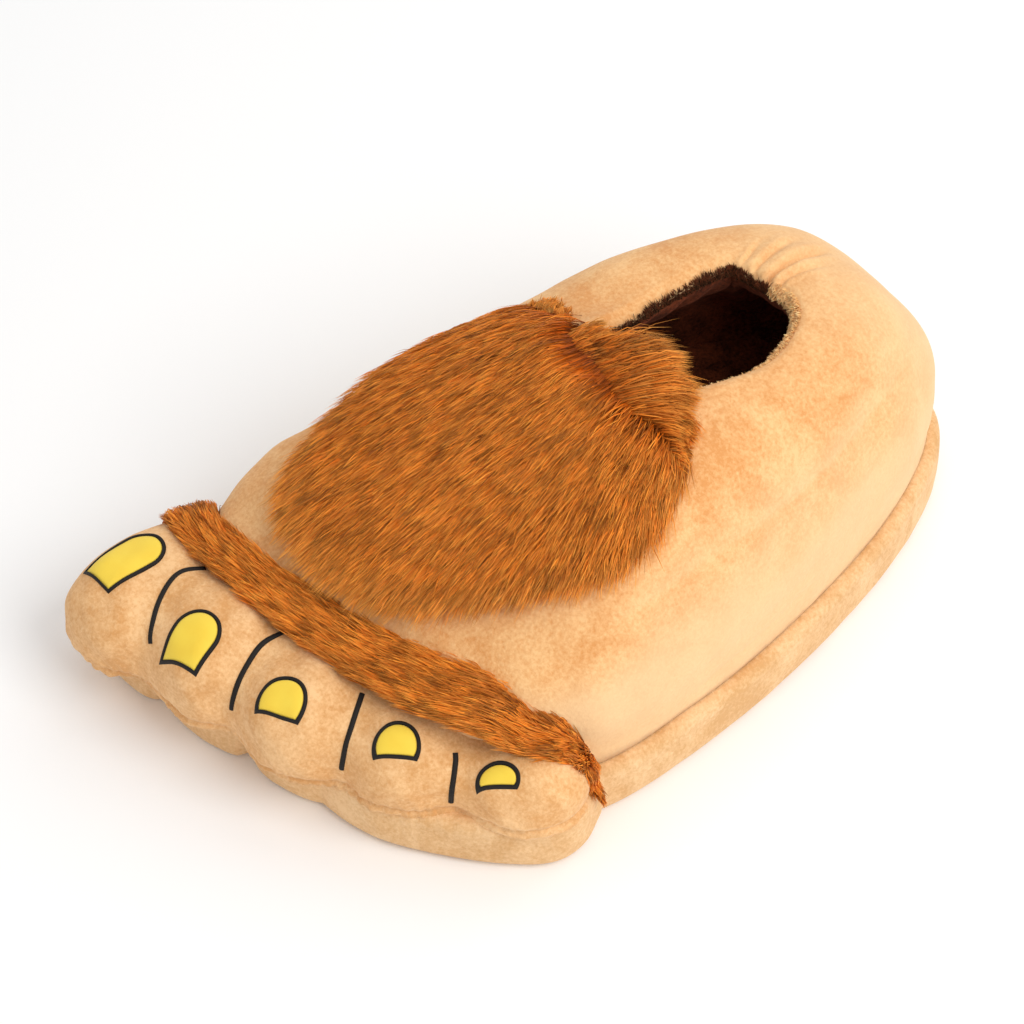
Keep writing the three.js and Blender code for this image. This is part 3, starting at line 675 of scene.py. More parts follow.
sole_grid = sole_grid + rim_out[None] * (sole_swell * edge_only * smooth_step(0.5, 4, sole_grid[..., 2]))[..., None]
sole_plush = plush("sole_plush", (0.68, 0.38, 0.155), (0.88, 0.58, 0.31), (1.0, 0.8, 0.55), 20.0)
sole_skin = closed_skin(sole_grid, SOLE_HUB, SOLE_HUB + UP * SOLE_LID)
sole = make_piece("foam_sole", *sole_skin, sole_plush)
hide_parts("sole")
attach(sole, "root")

# Each nail is a thin patch of yellow cloth, stitched on with a black edging all round. The back is round
# and the tip end is cut straight, with two corners.
NAIL_LENGTH = 16.0
NAIL_WIDTH = 17.0
EDGING_WIDTH = 1.4
EDGING_GAP = 0.15
PATCH_SUNK = 0.7
FAR_ABOVE = 200.0
NAIL_COLUMNS = ("across", "along", "wide", "long", "turn")
NAILS = [dict(zip(NAIL_COLUMNS, row)) for row in (
    (-0.172, 0.098, 0.90, 1.66, 0),
    (-0.050, 0.224, 0.92, 1.14, 10),
    (-0.102, 0.262, 0.92, 0.71, 8),
    (-0.062, 0.241, 0.83, 0.58, 7),
    (-0.175, 0.252, 0.74, 0.34, -6),
)]
still = bpy.context.evaluated_depsgraph_get()
still.update()
toes_tree = BVHTree.FromObject(toes, still)


def first_hit(trees, start, way):
    """The first place where a line meets one of some bodies, or nothing."""
    hits = [tree.ray_cast(Vector(start) * MM, Vector(way)) for tree in trees]
    hits = [(hit[3], hit[0]) for hit in hits if hit[0] is not None]
    return np.array(min(hits, key=lambda hit: hit[0])[1]) / MM if hits else None


def laid_on_toes(plan, lift):
    """Drops places in plan onto the toes from above, and lifts them by some millimetres."""
    laid = np.array(plan, float)
    rows = laid.reshape(-1, 3)
    for row in rows:
        hit = first_hit([toes_tree], (row[0], row[1], FAR_ABOVE), -UP)
        row[2] = SOLE_TOP if hit is None else hit[2]
    laid[..., 2] += lift
    return laid


def nail_outline(toe, nail, margin):
    """The nail's outline in plan: up one side, round the back, down the other side and along the tip."""
    placed = dict(toe, turn=toe["turn"] + nail["turn"])
    middle = nail["across"] * TOE_WIDTH
    reach = nail["long"] * NAIL_LENGTH
    front = nail["along"] * TOE_REACH + reach / 2
    half = nail["wide"] * NAIL_WIDTH / 2
    back = min(half, reach * 0.8)
    turn = np.linspace(0, math.pi, 33)
    across = (half + margin) * np.cos(turn)
    along = front - reach + back - (back + margin) * np.sin(turn)
    side = np.linspace(0, 1, 7)[1:-1]
    tip = front + 0.6 * margin
    cut = (half + margin) * np.linspace(-1, 1, 13)
    across = np.concatenate([across, cut[0] + 0 * side, cut, cut[-1] + 0 * side])
    along = np.concatenate([along, along[-1] + (tip - along[-1]) * side, tip + 0 * cut, tip + (along[0] - tip) * side])
    narrowing = 1 - 0.10 * np.clip((along - along[0]) / (tip - along[0]), 0, 1) ** 2
    return on_toe(placed, middle + across * narrowing, along)


nail_cloth, shader = finish("yellow_nail_cloth", 0.62, Sheen_Weight=0.1)
wear(nail_cloth, shader,
     two_shades(nail_cloth, cloth_noise(nail_cloth, 9.0), 0.0, 1.0, (0.88, 0.58, 0.05), (0.95, 0.72, 0.085)),
     raised(nail_cloth, cloth_noise(nail_cloth, 0.7), 0.25, 0.15))
black_thread, shader = finish("black_thread", 0.6, Base_Color=(0.012, 0.01, 0.009, 1.0))
twist = brushed_on(black_thread, "TexNoise", {"Scale": 1 / (0.5 * MM)})
wear(black_thread, shader, None, raised(black_thread, twist.outputs["Fac"], 0.4, 0.15))

for number, (toe, nail) in enumerate(zip(TOES, NAILS), 1):
    outline = nail_outline(toe, nail, 0.0)
    heart = outline.mean(0)
    rings = [laid_on_toes(outline, -PATCH_SUNK)]
    for share in (1.0, 0.94, 0.85, 0.7, 0.5, 0.25):
        lift = 0.45 + 0.75 * math.sqrt(1 - share ** 3)
        rings.append(laid_on_toes(heart + (outline - heart) * share, lift))
    tips = laid_on_toes(np.array([heart, heart]), np.array([-PATCH_SUNK, 1.2]))
    patch = make_piece(f"nail_patch_{number}", *closed_skin(np.array(rings), *tips), nail_cloth)
    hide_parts(f"toenail_{number}")
    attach(patch, "root")
    section_round = []
    for margin, lift in ((0.0, -PATCH_SUNK), (0.0, 0.5), (0.2, 0.9), (0.5, 1.0), (0.8, 0.85), (1.0, 0.35),
                         (1.0, -PATCH_SUNK)):
        section_round.append(laid_on_toes(nail_outline(toe, nail, EDGING_GAP + margin * EDGING_WIDTH), lift))
    section_round = np.array(section_round)
    loop = ring_of_faces(*section_round.shape[:2])
    edging = make_piece(f"nail_thread_{number}", section_round.reshape(-1, 3), loop, black_thread)
    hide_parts(f"nail_edging_{number}")
    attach(edging, "root")

# A row of black satin stitches runs down each valley between two toes, from the knuckle strip on over the
# toes' fronts. It lies a little proud of the plush.
CREASE_WIDTH = 1.9
# From the toes' front up and back to the knuckle strip, in millimetres.
CREASES = [
    [(-47.4, -138.7, 44.2), (-52.9, -133.1, 49.0), (-58.9, -124.8, 50.9), (-62.1, -115.1, 52.1), (-58.9, -106.4, 50.7)],
    [(-10.0, -130.9, 38.0), (-12.0, -127.2, 44.1), (-14.5, -120.9, 49.1), (-17.4, -111.2, 52.4), (-16.9, -102.5, 52.3)],
    [(32.4, -114.6, 34.1), (31.4, -112.1, 42.1), (28.5, -107.0, 47.4), (25.0, -101.5, 50.5), (21.8, -96.9, 52.0)],
    [(64.3, -91.3, 29.2), (64.0, -90.6, 36.0), (62.6, -88.4, 41.6), (60.4, -86.0, 44.6), (58.5, -84.6, 46.0)],
]


def through(rows, shares):
    """A smooth curve through the rows of a table, at shares from 0 to 1 of the way along it."""
    rows = np.asarray(rows, float)
    padded = np.concatenate([[2 * rows[0] - rows[1]], rows, [2 * rows[-1] - rows[-2]]])
    place = np.clip(shares, 0, 1) * (len(rows) - 1)
    first = np.minimum(np.floor(place).astype(int), len(rows) - 2)
    return bend_between(*(padded[first + k] for k in range(4)), (place - first)[..., None])


def ease(line):
    """Evens out a line of places between its two ends."""
    line[1:-1] = (line[:-2] + 2 * line[1:-1] + line[2:]) / 4


def snapped_to_toes(place, out, lift):
    """A place on the toes' real face, found along the outward direction, and lifted by some millimetres."""
    hit = first_hit([toes_tree], place + out * 8, -out)
    return (place if hit is None else hit) + out * lift


for number, rows in enumerate(CREASES, 1):
    line = through(rows, np.linspace(0, 1, 48))
    for _ in range(6):
        line -= slope_of(toes_depth, line) * toes_depth(line)[:, None]
        ease(line)
    away = slope_of(toes_depth, line)
    beside = unit(np.cross(np.gradient(line, axis=0), away))
    rings = []
    for side, lift in ((-1, -PATCH_SUNK), (-1, 0.25), (-0.6, 0.6), (0, 0.75), (0.6, 0.6), (1, 0.25), (1, -PATCH_SUNK)):
        places = line + beside * side * CREASE_WIDTH / 2
        rings.append([snapped_to_toes(place, out, lift) for place, out in zip(places, away)])
    rings = np.array(rings).transpose(1, 0, 2)[:, ::-1]
    stitches = make_piece(f"crease_stitches_{number}", *closed_skin(rings), black_thread)
    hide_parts(f"crease_line_{number}")
    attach(stitches, "root")

# The instep fur is one panel of long pile, sewn on from the big toe's side of the throat round to the outer
# side and brushed down over the foot. Locks cling together and have paler tips, brightened in part as painted
# highlight, and roots painted dark as painted shade for the depth of the pile.
INSTEP_PILE = 8.0
# Where the hairs are rooted: round the foot, from and to which height, and how deep the fur is there.
INSTEP_ROOTS = np.array([
    (-0.228, 0.56, 0.70, 0.5), (-0.212, 0.54, 0.80, 0.75), (-0.196, 0.54, 0.90, 0.9), (-0.180, 0.58, 0.955, 1.0),
    (-0.160, 0.63, 0.990, 1.0), (-0.130, 0.645, 1.005, 1.0), (-0.100, 0.63, 1.02, 1.0), (-0.070, 0.62, 1.025, 1.0),
    (-0.040, 0.59, 1.025, 1.0), (-0.015, 0.555, 1.025, 1.0), (0.02, 0.59, 1.015, 1.0), (0.045, 0.65, 0.999, 1.0),
    (0.07, 0.69, 0.994, 1.0), (0.095, 0.70, 0.993, 1.0), (0.12, 0.70, 0.986, 0.95), (0.145, 0.70, 0.965, 0.85),
    (0.163, 0.75, 0.93, 0.65), (0.178, 0.83, 0.89, 0.35),
])
SEGMENTS = 3
# How far one bit of a hair may run round and up its surface, in the surface's own shares.
MOST_ROUND, MOST_UP = 0.03, 0.06


def roots_at(share):
    """The columns of the table at shares from 0 to 1 of the way round the panel."""
    return [np.interp(share, np.linspace(0, 1, len(INSTEP_ROOTS)), column) for column in INSTEP_ROOTS.T]


def frame_of(surface, u, v):
    """A surface's points, its two directions and its outward normal at places on it."""
    step = 0.002
    point = surface(u, v)
    round_way = (surface(u + step, v) - surface(u - step, v)) / (2 * step)
    up_way = (surface(u, v + step) - surface(u, v - step)) / (2 * step)
    return point, round_way, up_way, unit(np.cross(round_way, up_way))


def between(table, row, column, across, up):
    """A table's values some way from one column to the next and from one row to the next."""
    low = table[row, column] * (1 - across) + table[row, column + 1] * across
    return low * (1 - up) + (table[row + 1, column] * (1 - across) + table[row + 1, column + 1] * across) * up


def scattered(surface, u, v, count, rng):
    """Places at random over a grid of places on a surface, as many to each bit of its area."""
    corner = surface(u, v)
    across = np.linalg.norm(np.cross(corner[1:, :-1] - corner[:-1, :-1], corner[:-1, 1:] - corner[:-1, :-1]), axis=-1)
    cell = rng.choice(across.size, count, p=across.ravel() / across.sum())
    row, column = np.unravel_index(cell, across.shape)
    up, across = rng.random(count), rng.random(count)
    return lambda table: between(table, row, column, across, up)


def grow(surface, u, v, flow, length, pile, rng, wander=0.2, buried=0.0):
    """Hairs that follow a surface: points along each, and the outward direction at each point."""
    paths, normals = [], []
    stray = rng.normal(size=len(u)) * wander
    for k in range(SEGMENTS + 1):
        point, round_way, up_way, out = frame_of(surface, u, v)
        share = k / SEGMENTS
        rise = pile * (1 - (1 - share) ** 2.0) - buried
        paths.append(point + out * rise[:, None])
        normals.append(out)
        way = flow(u, v, point, round_way, up_way, out)
        way = way + np.cross(out, way) * stray[:, None]
        way = unit(way - out * (way * out).sum(-1, keepdims=True))
        reach = way * (length / SEGMENTS)[:, None]
        a = (round_way * round_way).sum(-1)
        b = (round_way * up_way).sum(-1)
        c = (up_way * up_way).sum(-1)
        p = (reach * round_way).sum(-1)
        q = (reach * up_way).sum(-1)
        det = np.maximum(a * c - b * b, 1e-6)
        u = u + np.clip((p * c - q * b) / det, -MOST_ROUND, MOST_ROUND)
        v = v + np.clip((q * a - p * b) / det, -MOST_UP, MOST_UP)
    return np.stack(paths, 1), np.stack(normals, 1)


def clump(paths, size, hold, rng):
    """Pulls hairs towards the middle of each lock, more and more towards the tips, and gives each lock a number."""
    cells = np.floor(paths[:, 0] / size + rng.normal(size=(len(paths), 3)) * 0.25).astype(np.int64)
    key = (cells[:, 0] * 4096 + cells[:, 1]) * 4096 + cells[:, 2]
    _, lock = np.unique(key, return_inverse=True)
    count = np.bincount(lock)
    middle = np.zeros((len(count), *paths.shape[1:]))
    np.add.at(middle, lock, paths)
    middle /= count[:, None, None]
    share = (np.arange(paths.shape[1]) / (paths.shape[1] - 1))[None, :, None]
    bend = rng.normal(size=(len(count), 1, 3)) * size * 0.22
    spread = rng.normal(size=(len(paths), 1, 3)) * size * 0.12
    pulled = paths + (middle[lock] - paths) * hold * share ** 1.2 + (bend[lock] + spread) * share ** 1.5
    return pulled, lock


def hair_piece(name, paths, normals, width, shades, made, rng, twist=0.6):
    """Tapered blades as one mesh. Shades are a root colour, a middle and a tip for each hair."""
    count, steps = paths.shape[:2]
    along = unit(np.gradient(paths, axis=1))
    level = unit(np.cross(along, normals))
    roll = (rng.normal(size=count) * twist)[:, None, None]
    across = level * np.cos(roll) + np.cross(along, level) * np.sin(roll)
    share = np.arange(steps) / (steps - 1)
    taper = np.interp(share, [0, 0.3, 0.7, 1], [0.7, 1.0, 0.75, 0.0])[None, :, None]
    half_width = across * width[:, None, None] * taper / 2
    left = (paths - half_width)[:, :-1]
    right = (paths + half_width)[:, :-1]
    points = np.concatenate([np.stack([left, right], 2).reshape(count, -1, 3), paths[:, -1:]], 1)
    per = points.shape[1]
    rungs = np.arange(steps - 2) * 2
    blade = np.concatenate([
        np.stack([rungs, rungs + 1, rungs + 3], -1), np.stack([rungs, rungs + 3, rungs + 2], -1),
        [[per - 3, per - 2, per - 1]]])
    faces = (np.arange(count) * per)[:, None, None] + blade[None]
    piece = make_piece(name, points.reshape(-1, 3), faces.reshape(-1, 3), made)
    place = np.append(np.repeat(share[:-1], 2), 1.0)
    weights = np.stack([np.interp(place, [0, 0.45, 1], row) for row in np.eye(3)], -1)
    colours = np.ones((count, per, 4), np.float32)
    colours[..., :3] = np.einsum("pk,kcd->cpd", weights, np.stack(shades))
    layer = piece.data.color_attributes.new("hair_shade", "FLOAT_COLOR", "POINT")
    layer.data.foreach_set("color", colours.ravel())
    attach(piece, "root")
    return piece


def hair_finish(name, roughness, sheen):
    """Hair coloured along its length, with darker streaks from lock to lock."""
    made, shader = finish(name, roughness, Specular_IOR_Level=0.15, Sheen_Weight=sheen,
                          Sheen_Tint=(1.0, 0.7, 0.35, 1.0))
    shade = brushed_on(made, "VertexColor", layer_name="hair_shade")
    streaks = two_shades(made, cloth_noise(made, 3.0, Detail=3.0), 0.35, 0.62, (0.62, 0.48, 0.36), (1.0, 1.0, 1.0))
    tone = brushed_on(made, "Mix", data_type="RGBA", blend_type="MULTIPLY", values={"Factor": 0.25},
                      inputs={"A": shade.outputs["Color"], "B": streaks})
    wear(made, shader, tone.outputs["Result"], None)
    return made


def fur_shades(lock, rng, colours, spread=0.26, paled=None):
    """Root, middle and tip colours of each hair. Some locks are darker, and hairs at a panel's edge may be faded."""
    darker = np.exp(-np.abs(rng.normal(size=lock.max() + 1)) * 2.0 * spread)[lock]
    lift = np.clip(1.2 * darker * np.exp(rng.normal(size=len(lock)) * 0.9 * spread), 0.25, 1.3)[:, None]
    warm = 1 + rng.normal(size=(len(lock), 1)) * np.array([0.0, 0.05, 0.10])
    shades = [np.array(shade) * lift * warm for shade in colours]
    if paled is not None:
        for k, share in enumerate((0.15, 0.55, 0.8)):
            some = (paled * share)[:, None]
            shades[k] = shades[k] * (1 - some) + np.array(FADED_TIP) * some
    return [np.clip(shade, 0, 1) for shade in shades]


def instep_flow(u, v, point, round_way, up_way, out):
    """Down the foot, and on the big toe's side more and more straight to the toes."""
    down = unit(-up_way)
    forward = np.array([0.0, -1.0, 0.0])
    lean = 1.5 * (1 - smooth_step(-50, 25, point[..., 0]))[..., None]
    return unit(down + forward * lean)


rust = hair_finish("rust_fur", 0.55, 0.05)
# From the hairs' roots to their tips. The dark root colour is painted shade, for the shadow deep in the pile; the pale
# tips are the fur's own tipping, brightened in part as painted highlight.
RUST = ((0.14, 0.022, 0.001), (0.72, 0.150, 0.003), (0.97, 0.350, 0.050))
FADED_TIP = (0.93, 0.45, 0.095)
INSTEP_HAIRS = 31500
root_round, root_share = np.meshgrid(np.linspace(0, 1, 150), np.linspace(0, 1, 110))
root_turn, root_low, root_high, root_depth = roots_at(root_round)
root_height = root_high - (root_high - root_low) * (1 - root_share) ** 1.7
root_faded = np.maximum(1 - smooth_step(0.0, 0.16, root_share), 1 - smooth_step(0.35, 0.95, root_depth))
for layer, (name, long, stand, size) in enumerate((
    ("instep_fur_under", 13.0, 0.6, 1.6), ("instep_fur_locks", 17.0, 0.85, 2.0), ("instep_fur_tips", 20.0, 1.0, 2.3),
)):
    rng = np.random.default_rng(100 + layer)
    at = scattered(whole_face, root_turn, root_height, INSTEP_HAIRS, rng)
    paled = at(root_faded) * rng.uniform(0.2, 1.0, INSTEP_HAIRS)
    length = long * rng.uniform(0.7, 1.15, INSTEP_HAIRS)
    pile = INSTEP_PILE * stand * at(root_depth) * rng.uniform(0.65, 1.05, INSTEP_HAIRS) * (1 - 0.3 * paled)
    jitter = rng.normal(size=INSTEP_HAIRS) * np.minimum(0.005, 0.3 * np.abs(1.0 - at(root_height)) + 0.001)
    astray = rng.normal(size=INSTEP_HAIRS) * 0.004
    paths, normals = grow(whole_face, at(root_turn) + astray, at(root_height) + jitter, instep_flow, length, pile, rng)
    paths, lock = clump(paths, size, 0.7, rng)
    width = rng.uniform(0.32, 0.55, INSTEP_HAIRS) * (1 - 0.25 * paled)
    shades = fur_shades(lock, rng, RUST, paled=paled)
    fur = hair_piece(name, paths, normals, width, shades, rust, rng)
    if layer == 1:
        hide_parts("instep_fur")

# Behind a parting at the throat the same pile is brushed the other way. Its tufts stand out over the front of
# the foot's opening and over the plush beside it.
# Rows along the parting: round the foot, its height, length of the tufts, and their heading in plan.
PARTING = [
    (-0.226, 0.70, 3.0, 0.30, 0.95), (-0.209, 0.82, 2.8, 0.35, 0.94), (-0.190, 0.91, 2.8, 0.45, 0.89),
    (-0.172, 0.957, 3.2, 0.55, 0.83), (-0.140, 0.985, 7.0, 0.60, 0.80), (-0.100, 0.997, 12.0, 0.60, 0.80),
    (-0.050, 1.0, 18.0, 0.57, 0.82), (0.0, 0.999, 24.0, 0.52, 0.85), (0.032, 0.996, 27.0, 0.50, 0.87),
    (0.056, 0.990, 26.0, 0.55, 0.83), (0.091, 0.990, 22.0, 0.66, 0.75), (0.122, 0.982, 14.0, 0.80, 0.60),
    (0.150, 0.952, 10.0, 0.93, 0.36), (0.172, 0.88, 8.0, 1.0, 0.0),
]
# The tufts stand up over the collar between these places round the foot, up to this height.
THROAT_START, THROAT_END = -0.128, 0.137
THROAT_TOP = 1.05
# The share of the tufts that are rooted close by the parting.
CLOSE_BY_SHARE = 0.45
THROAT_HAIRS = 15000
rng = np.random.default_rng(150)
share_round, share_up = np.meshgrid(np.linspace(0, 1, 90), np.linspace(0, 1, 50))
line_turn, line_height, tuft_length, heading_x, heading_y = np.moveaxis(through(PARTING, share_round), -1, 0)
over_the_top = (line_turn > THROAT_START) & (line_turn < THROAT_END)
below_top = 1 - (1 - line_height) * np.clip(1 - share_up / 0.6, 0, 1) ** 2
tuft_height = np.where(share_up < 0.6, below_top, 1 + (THROAT_TOP - 1) * (share_up - 0.6) / 0.4)
tuft_height = np.where(over_the_top, tuft_height,
                       1 - (1 - line_height) * (1 - np.where(line_turn < 0, 0.12, 0.3) * share_up) ** 2)
at = scattered(whole_face, line_turn, tuft_height, THROAT_HAIRS, rng)
along_line = through(PARTING, rng.random(THROAT_HAIRS))
close_by = rng.random(THROAT_HAIRS) < CLOSE_BY_SHARE
back = rng.random(THROAT_HAIRS) ** 1.5
drawn_in = (1 - np.where(along_line[:, 0] < THROAT_START, 0.15, 0.4) * back) ** 2
over_top = 0.012 * back * (along_line[:, 0] > THROAT_START)
by_line = 1 - (1 - along_line[:, 1]) * drawn_in + over_top - 0.002
root_turns = np.where(close_by, along_line[:, 0], at(line_turn)) + rng.normal(size=THROAT_HAIRS) * 0.003
point, round_way, up_way, out = frame_of(whole_face, root_turns, np.where(close_by, by_line, at(tuft_height)))
heading = np.where(close_by[:, None], along_line[:, 3:5], np.stack([at(heading_x), at(heading_y)], -1))
heading = unit(np.concatenate([heading, np.zeros((THROAT_HAIRS, 1))], -1))
heading = unit(heading + rng.normal(size=heading.shape) * [0.18, 0.18, 0.12])
share = (np.arange(SEGMENTS + 1) / SEGMENTS)[None, :, None]
length = np.where(close_by, along_line[:, 2], at(tuft_length)) * rng.uniform(0.4, 1.1, THROAT_HAIRS)
length = (length * (1 + 0.22 * soft_noise(point, 9, 45)))[:, None, None]
lift = 0.66 * share - (0.44 + 0.20 * rng.random((THROAT_HAIRS, 1, 1))) * share ** 2
paths = point[:, None] + out[:, None] * 1.5 * share + heading[:, None] * length * share + UP * length * lift
normals = np.repeat(unit(out + 0.6 * UP)[:, None], SEGMENTS + 1, 1)
paths, lock = clump(paths, 3.0, 0.65, rng)
paled = np.where(close_by, 0.35, 0.35 + 0.65 * at(share_up)) * rng.uniform(0.2, 1.0, THROAT_HAIRS)
paled += 0.5 * (1 - smooth_step(-0.16, -0.09, root_turns)) * rng.uniform(0.3, 1.0, THROAT_HAIRS)
shades = fur_shades(lock, rng, RUST, paled=paled)
throat = hair_piece("instep_fur_throat", paths, normals, rng.uniform(0.28, 0.5, THROAT_HAIRS), shades, rust, rng)

# Under the long hairs of the instep lies a dense undercoat on its backing cloth, which is sewn down all round the
# panel.
# Its deep dark rust is painted shadow, the shade that falls among the hairs.
share_round, share_up = np.meshgrid(np.linspace(0, 1, 120), np.linspace(0, 1, 64))
turn, low, high, depth = roots_at(share_round)
past_parting = 0.06 * smooth_step(-0.12, -0.07, turn) * (1 - smooth_step(0.11, 0.14, turn))
coat_height = high - (high - low - 0.03) * (1 - np.clip(share_up / 0.85, 0, 1)) ** 1.7
coat_height += past_parting * np.clip((share_up - 0.85) / 0.15, 0, 1)
point, round_way, up_way, out = frame_of(whole_face, turn, coat_height)
dome = 0.42 * INSTEP_PILE * depth * (1 - (2 * share_up - 1) ** 6) * (1 - (2 * share_round - 1) ** 10)
dome *= 1 - 0.85 * smooth_step(0.35, 0.75, share_up)
# Painted shadow: the undercoat's deep rust shades stand in for the shade down among the long hairs.
shadow_undercoat = plush("rust_shadow_undercoat", (0.11, 0.022, 0.002), (0.34, 0.075, 0.006), (0.6, 0.3, 0.1), 7.0)
coat = point + out * (dome + 0.3 * soft_noise(point, 5, 31))[..., None]
loops = np.concatenate([coat, (point - out * 1.5)[:, ::-1]], 1)
coat_piece = make_piece("instep_shadow_undercoat", *closed_skin(loops), shadow_undercoat)
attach(coat_piece, "root")

# The knuckle strip is a narrow fur ribbon sewn over the joint of the toes and the upper. It bridges the
# valleys between the toes, and its ends hang down both sides. The pile is combed along it to the big toe's side.
# Stations from the big toe's side: the hub's x, y, how far the strip's middle leans out to that side, and its width.
STRIP_STATIONS = [
    (-60.0, -80.0, -104.0, 12.0), (-60.0, -84.0, -88.0, 14.0), (-60.0, -89.0, -66.0, 17.0), (-62.0, -94.0, -40.0, 17.5),
    (-64.0, -97.5, -14.0, 16.0), (-50.0, -98.0, 0.0, 15.0), (-22.0, -95.0, 0.0, 16.5), (10.0, -89.5, 0.0, 17.5),
    (42.0, -79.5, 0.0, 20.0), (58.0, -68.5, 6.0, 19.0), (61.5, -59.0, 24.0, 15.5), (59.5, -51.5, 42.0, 11.0),
    (58.0, -47.5, 60.0, 8.0), (57.0, -46.0, 75.0, 6.5), (57.0, -45.5, 88.0, 5.0),
]
STRIP_HUB = 20.0
FAR_OUT = 150.0
STRIP_LONG, STRIP_WIDE = 200, 15
KNUCKLE_PILE = 6.5
under_strip = [BVHTree.FromObject(piece, still) for piece in (upper, toes, sole)]


def mean_around(grid):
    """The mean of the four neighbours of each place of a grid."""
    wide = np.pad(grid, 1, mode="edge")
    return (wide[:-2, 1:-1] + wide[2:, 1:-1] + wide[1:-1, :-2] + wide[1:-1, 2:]) / 4


stations = through(STRIP_STATIONS, np.linspace(0, 1, STRIP_LONG))
hubs = flat(stations[:, 0], stations[:, 1]) + UP * STRIP_HUB
leans = np.radians(stations[:, 2])
out_ways = np.stack([np.sin(leans), 0 * leans, np.cos(leans)], -1)
middles = np.array([first_hit(under_strip, hub + way * FAR_OUT, -way) for hub, way in zip(hubs, out_ways)])
for _ in range(12):
    ease(middles)
strip_ahead = unit(np.gradient(middles, axis=0))
strip_side = unit(np.cross(out_ways, strip_ahead))
bed = np.zeros((STRIP_WIDE, STRIP_LONG, 3))
for j, share in enumerate(np.linspace(-0.5, 0.5, STRIP_WIDE)):
    for i in range(STRIP_LONG):
        base = middles[i] + strip_side[i] * share * stations[i, 3]
        hit = first_hit(under_strip, base + out_ways[i] * 50, -out_ways[i])
        sunk = base if hit is None else hit
        bed[j, i] = base + out_ways[i] * np.clip((sunk - base) @ out_ways[i], -6, 6)
level = ((bed - middles[None]) * out_ways[None]).sum(-1)
taut = level.copy()
for _ in range(60):
    taut = np.maximum(level, mean_around(taut))
for _ in range(20):
    taut = mean_around(taut)
bed = bed + out_ways[None] * (taut - level)[..., None]


def strip_face(u, v):
    """The strip's backing, along it from the big toe's side and across it from the toes' side."""
    x, y = u * (STRIP_LONG - 1), v * (STRIP_WIDE - 1)
    i = np.clip(np.floor(x).astype(int), 0, STRIP_LONG - 2)
    j = np.clip(np.floor(y).astype(int), 0, STRIP_WIDE - 2)
    return between(bed, j, i, np.clip(x - i, -6, 7)[..., None], np.clip(y - j, -3, 4)[..., None])


def strip_flow(u, v, point, round_way, up_way, out):
    """Along the strip towards the big toe, fanning out over its front edge. The little toe's end hangs down."""
    fan = (0.08 + 0.50 * (1 - np.clip(v, 0, 1)) ** 2)[..., None]
    home = -np.cos(math.pi * smooth_step(0.78, 0.89, u))[..., None]
    return home * unit(round_way) - (fan + 1.6 * (1 - np.abs(home))) * unit(up_way)


STRIP_HAIRS = 32000
rng = np.random.default_rng(210)
strip_u, strip_v = np.meshgrid(np.linspace(0.0, 1.0, 160) ** 0.92, np.linspace(0.02, 0.98, 12))
strip_v = 0.5 + (strip_v - 0.5) * (1 - 0.5 * smooth_step(0.86, 1.0, strip_u))
at = scattered(strip_face, strip_u, strip_v, STRIP_HAIRS, rng)
edge_share = 1 - (2 * at(strip_v) - 1) ** 4
length = rng.uniform(10.0, 21.0, STRIP_HAIRS)
hanging = smooth_step(0.70, 0.80, at(strip_u))
length *= 1 - 0.45 * hanging
pile = KNUCKLE_PILE * (0.35 + 0.65 * edge_share) * rng.uniform(0.3, 1.1, STRIP_HAIRS) * (1 - 0.5 * hanging)
paths, normals = grow(strip_face, at(strip_u), at(strip_v), strip_flow, length, pile, rng, wander=0.32)
paths, lock = clump(paths, 3.2, 0.6, rng)
paths[..., 2] = np.maximum(paths[..., 2], 1.0)
width = rng.uniform(0.35, 0.6, STRIP_HAIRS)
from_edge = np.minimum(at(strip_v), 1 - at(strip_v))
paled = 0.5 * (1 - smooth_step(0.0, 0.25, from_edge)) * rng.uniform(0.0, 1.0, STRIP_HAIRS)
shades = fur_shades(lock, rng, RUST, paled=paled)
strip_fur = hair_piece("knuckle_fur_locks", paths, normals, width, shades, rust, rng)
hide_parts("knuckle_fur")

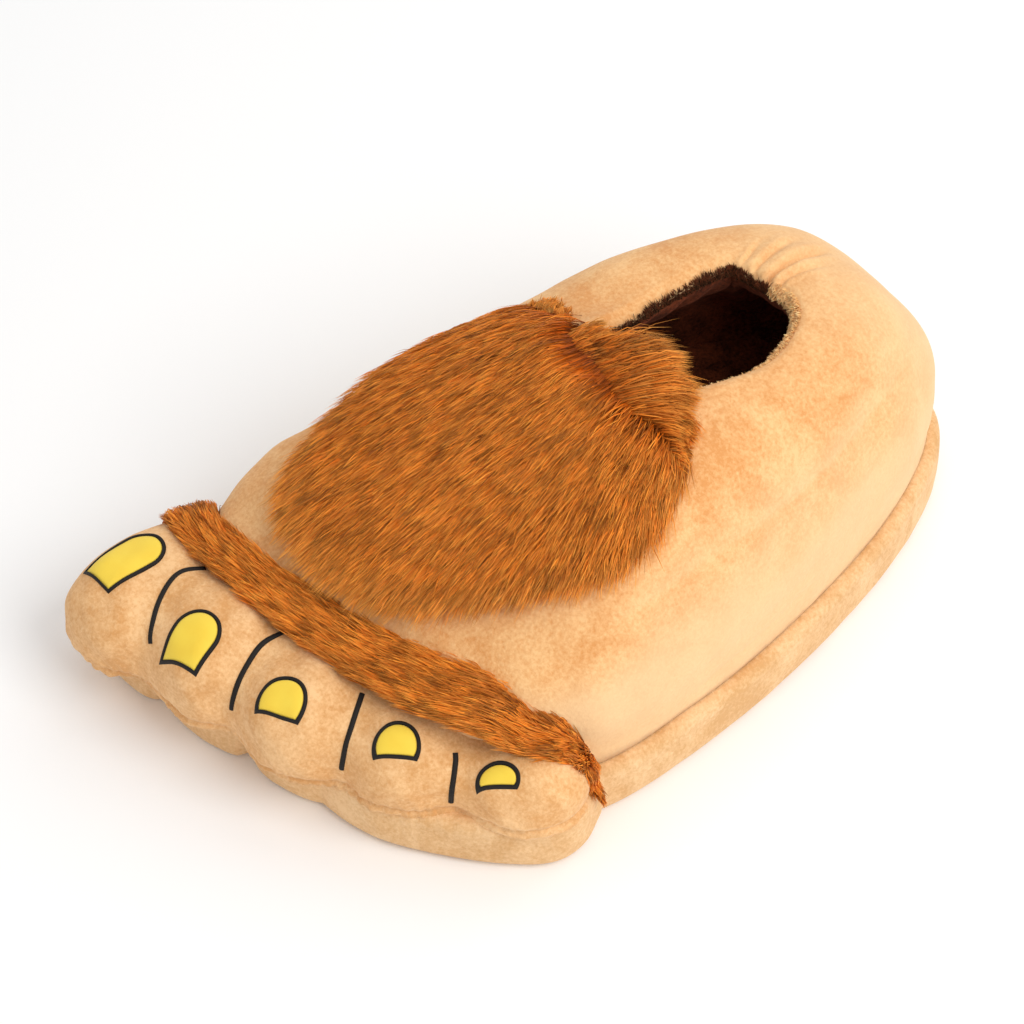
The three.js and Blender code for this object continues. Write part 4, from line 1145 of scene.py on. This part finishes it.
# The strip has the same undercoat on a backing cloth, dark with painted shadow under its hairs. It gets thin and narrow
# where the strip flips over and hangs down on the little toe's side.
u, v = np.meshgrid(np.linspace(0.005, 0.985, 220), np.linspace(0.06, 0.94, 13))
v = 0.5 + (v - 0.5) * (1 - 0.45 * smooth_step(0.78, 0.9, u))
point, round_way, up_way, out = frame_of(strip_face, u, v)
dome = 0.4 * KNUCKLE_PILE * (1 - (2 * v - 1) ** 4) * (1 - (2 * u - 1) ** 30) * (1 - 0.95 * smooth_step(0.60, 0.72, u))
coat_noise = (0.35 - 0.25 * smooth_step(0.65, 0.75, u)) * soft_noise(point, 5, 33)
strip_coat = point + out * (dome + coat_noise + 0.3)[..., None]
loops = np.concatenate([strip_coat, (point - out * 1.2)[::-1]]).transpose(1, 0, 2)[:, ::-1]
strip_under = make_piece("knuckle_shadow_undercoat", *closed_skin(loops), shadow_undercoat)
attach(strip_under, "root")

# From the heel to the throat the lining's dark pile stands up past the rim on the big toe's side. On the outer
# side the plush of the rim hangs a little way in over the dark.
RIM_HAIRS = 3500


def rim_hairs(name, seed, turns, heights, flow, long, uneven, stand, wander, made, shades, spread):
    """Short hairs over the collar's roll. Pairs of numbers are the least and the most."""
    rng = np.random.default_rng(seed)
    turn = rng.uniform(*turns, RIM_HAIRS)
    height = 1 + ROLL_SPAN * rng.uniform(*heights, RIM_HAIRS)
    length = rng.uniform(*long, RIM_HAIRS) * (1 + uneven * soft_noise(whole_face(turn, height), 9, 43))
    paths, normals = grow(whole_face, turn, height, flow, length, rng.uniform(*stand, RIM_HAIRS), rng, wander)
    paths, lock = clump(paths, 1.5, 0.5, rng)
    width = rng.uniform(0.25, 0.4, RIM_HAIRS)
    return hair_piece(name, paths, normals, width, fur_shades(lock, rng, shades, spread), made, rng)


fringe = rim_hairs(
    "lining_fringe", 300, (0.50, 0.93), (0.70, 1.1),
    lambda u, v, point, round_way, up_way, out: 0.3 * unit(round_way) - unit(up_way),
    (1.0, 3.4), 0.5, (0.6, 1.6), 0.5, hair_finish("dark_lining_hair", 0.8, 0.1),
    ((0.04, 0.010, 0.004), (0.09, 0.022, 0.008), (0.20, 0.055, 0.02)), 0.26)
rim_fur = rim_hairs(
    "rim_pile", 310, (0.08, 0.5), (0.3, 0.95),
    lambda u, v, point, round_way, up_way, out: 0.25 * unit(round_way) + unit(up_way),
    (0.8, 2.0), 0.0, (0.3, 1.0), 0.6, hair_finish("peach_rim_hair", 0.85, 0.3),
    ((0.70, 0.34, 0.11), (0.88, 0.50, 0.20), (1.0, 0.66, 0.34)), 0.1)

low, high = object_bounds()
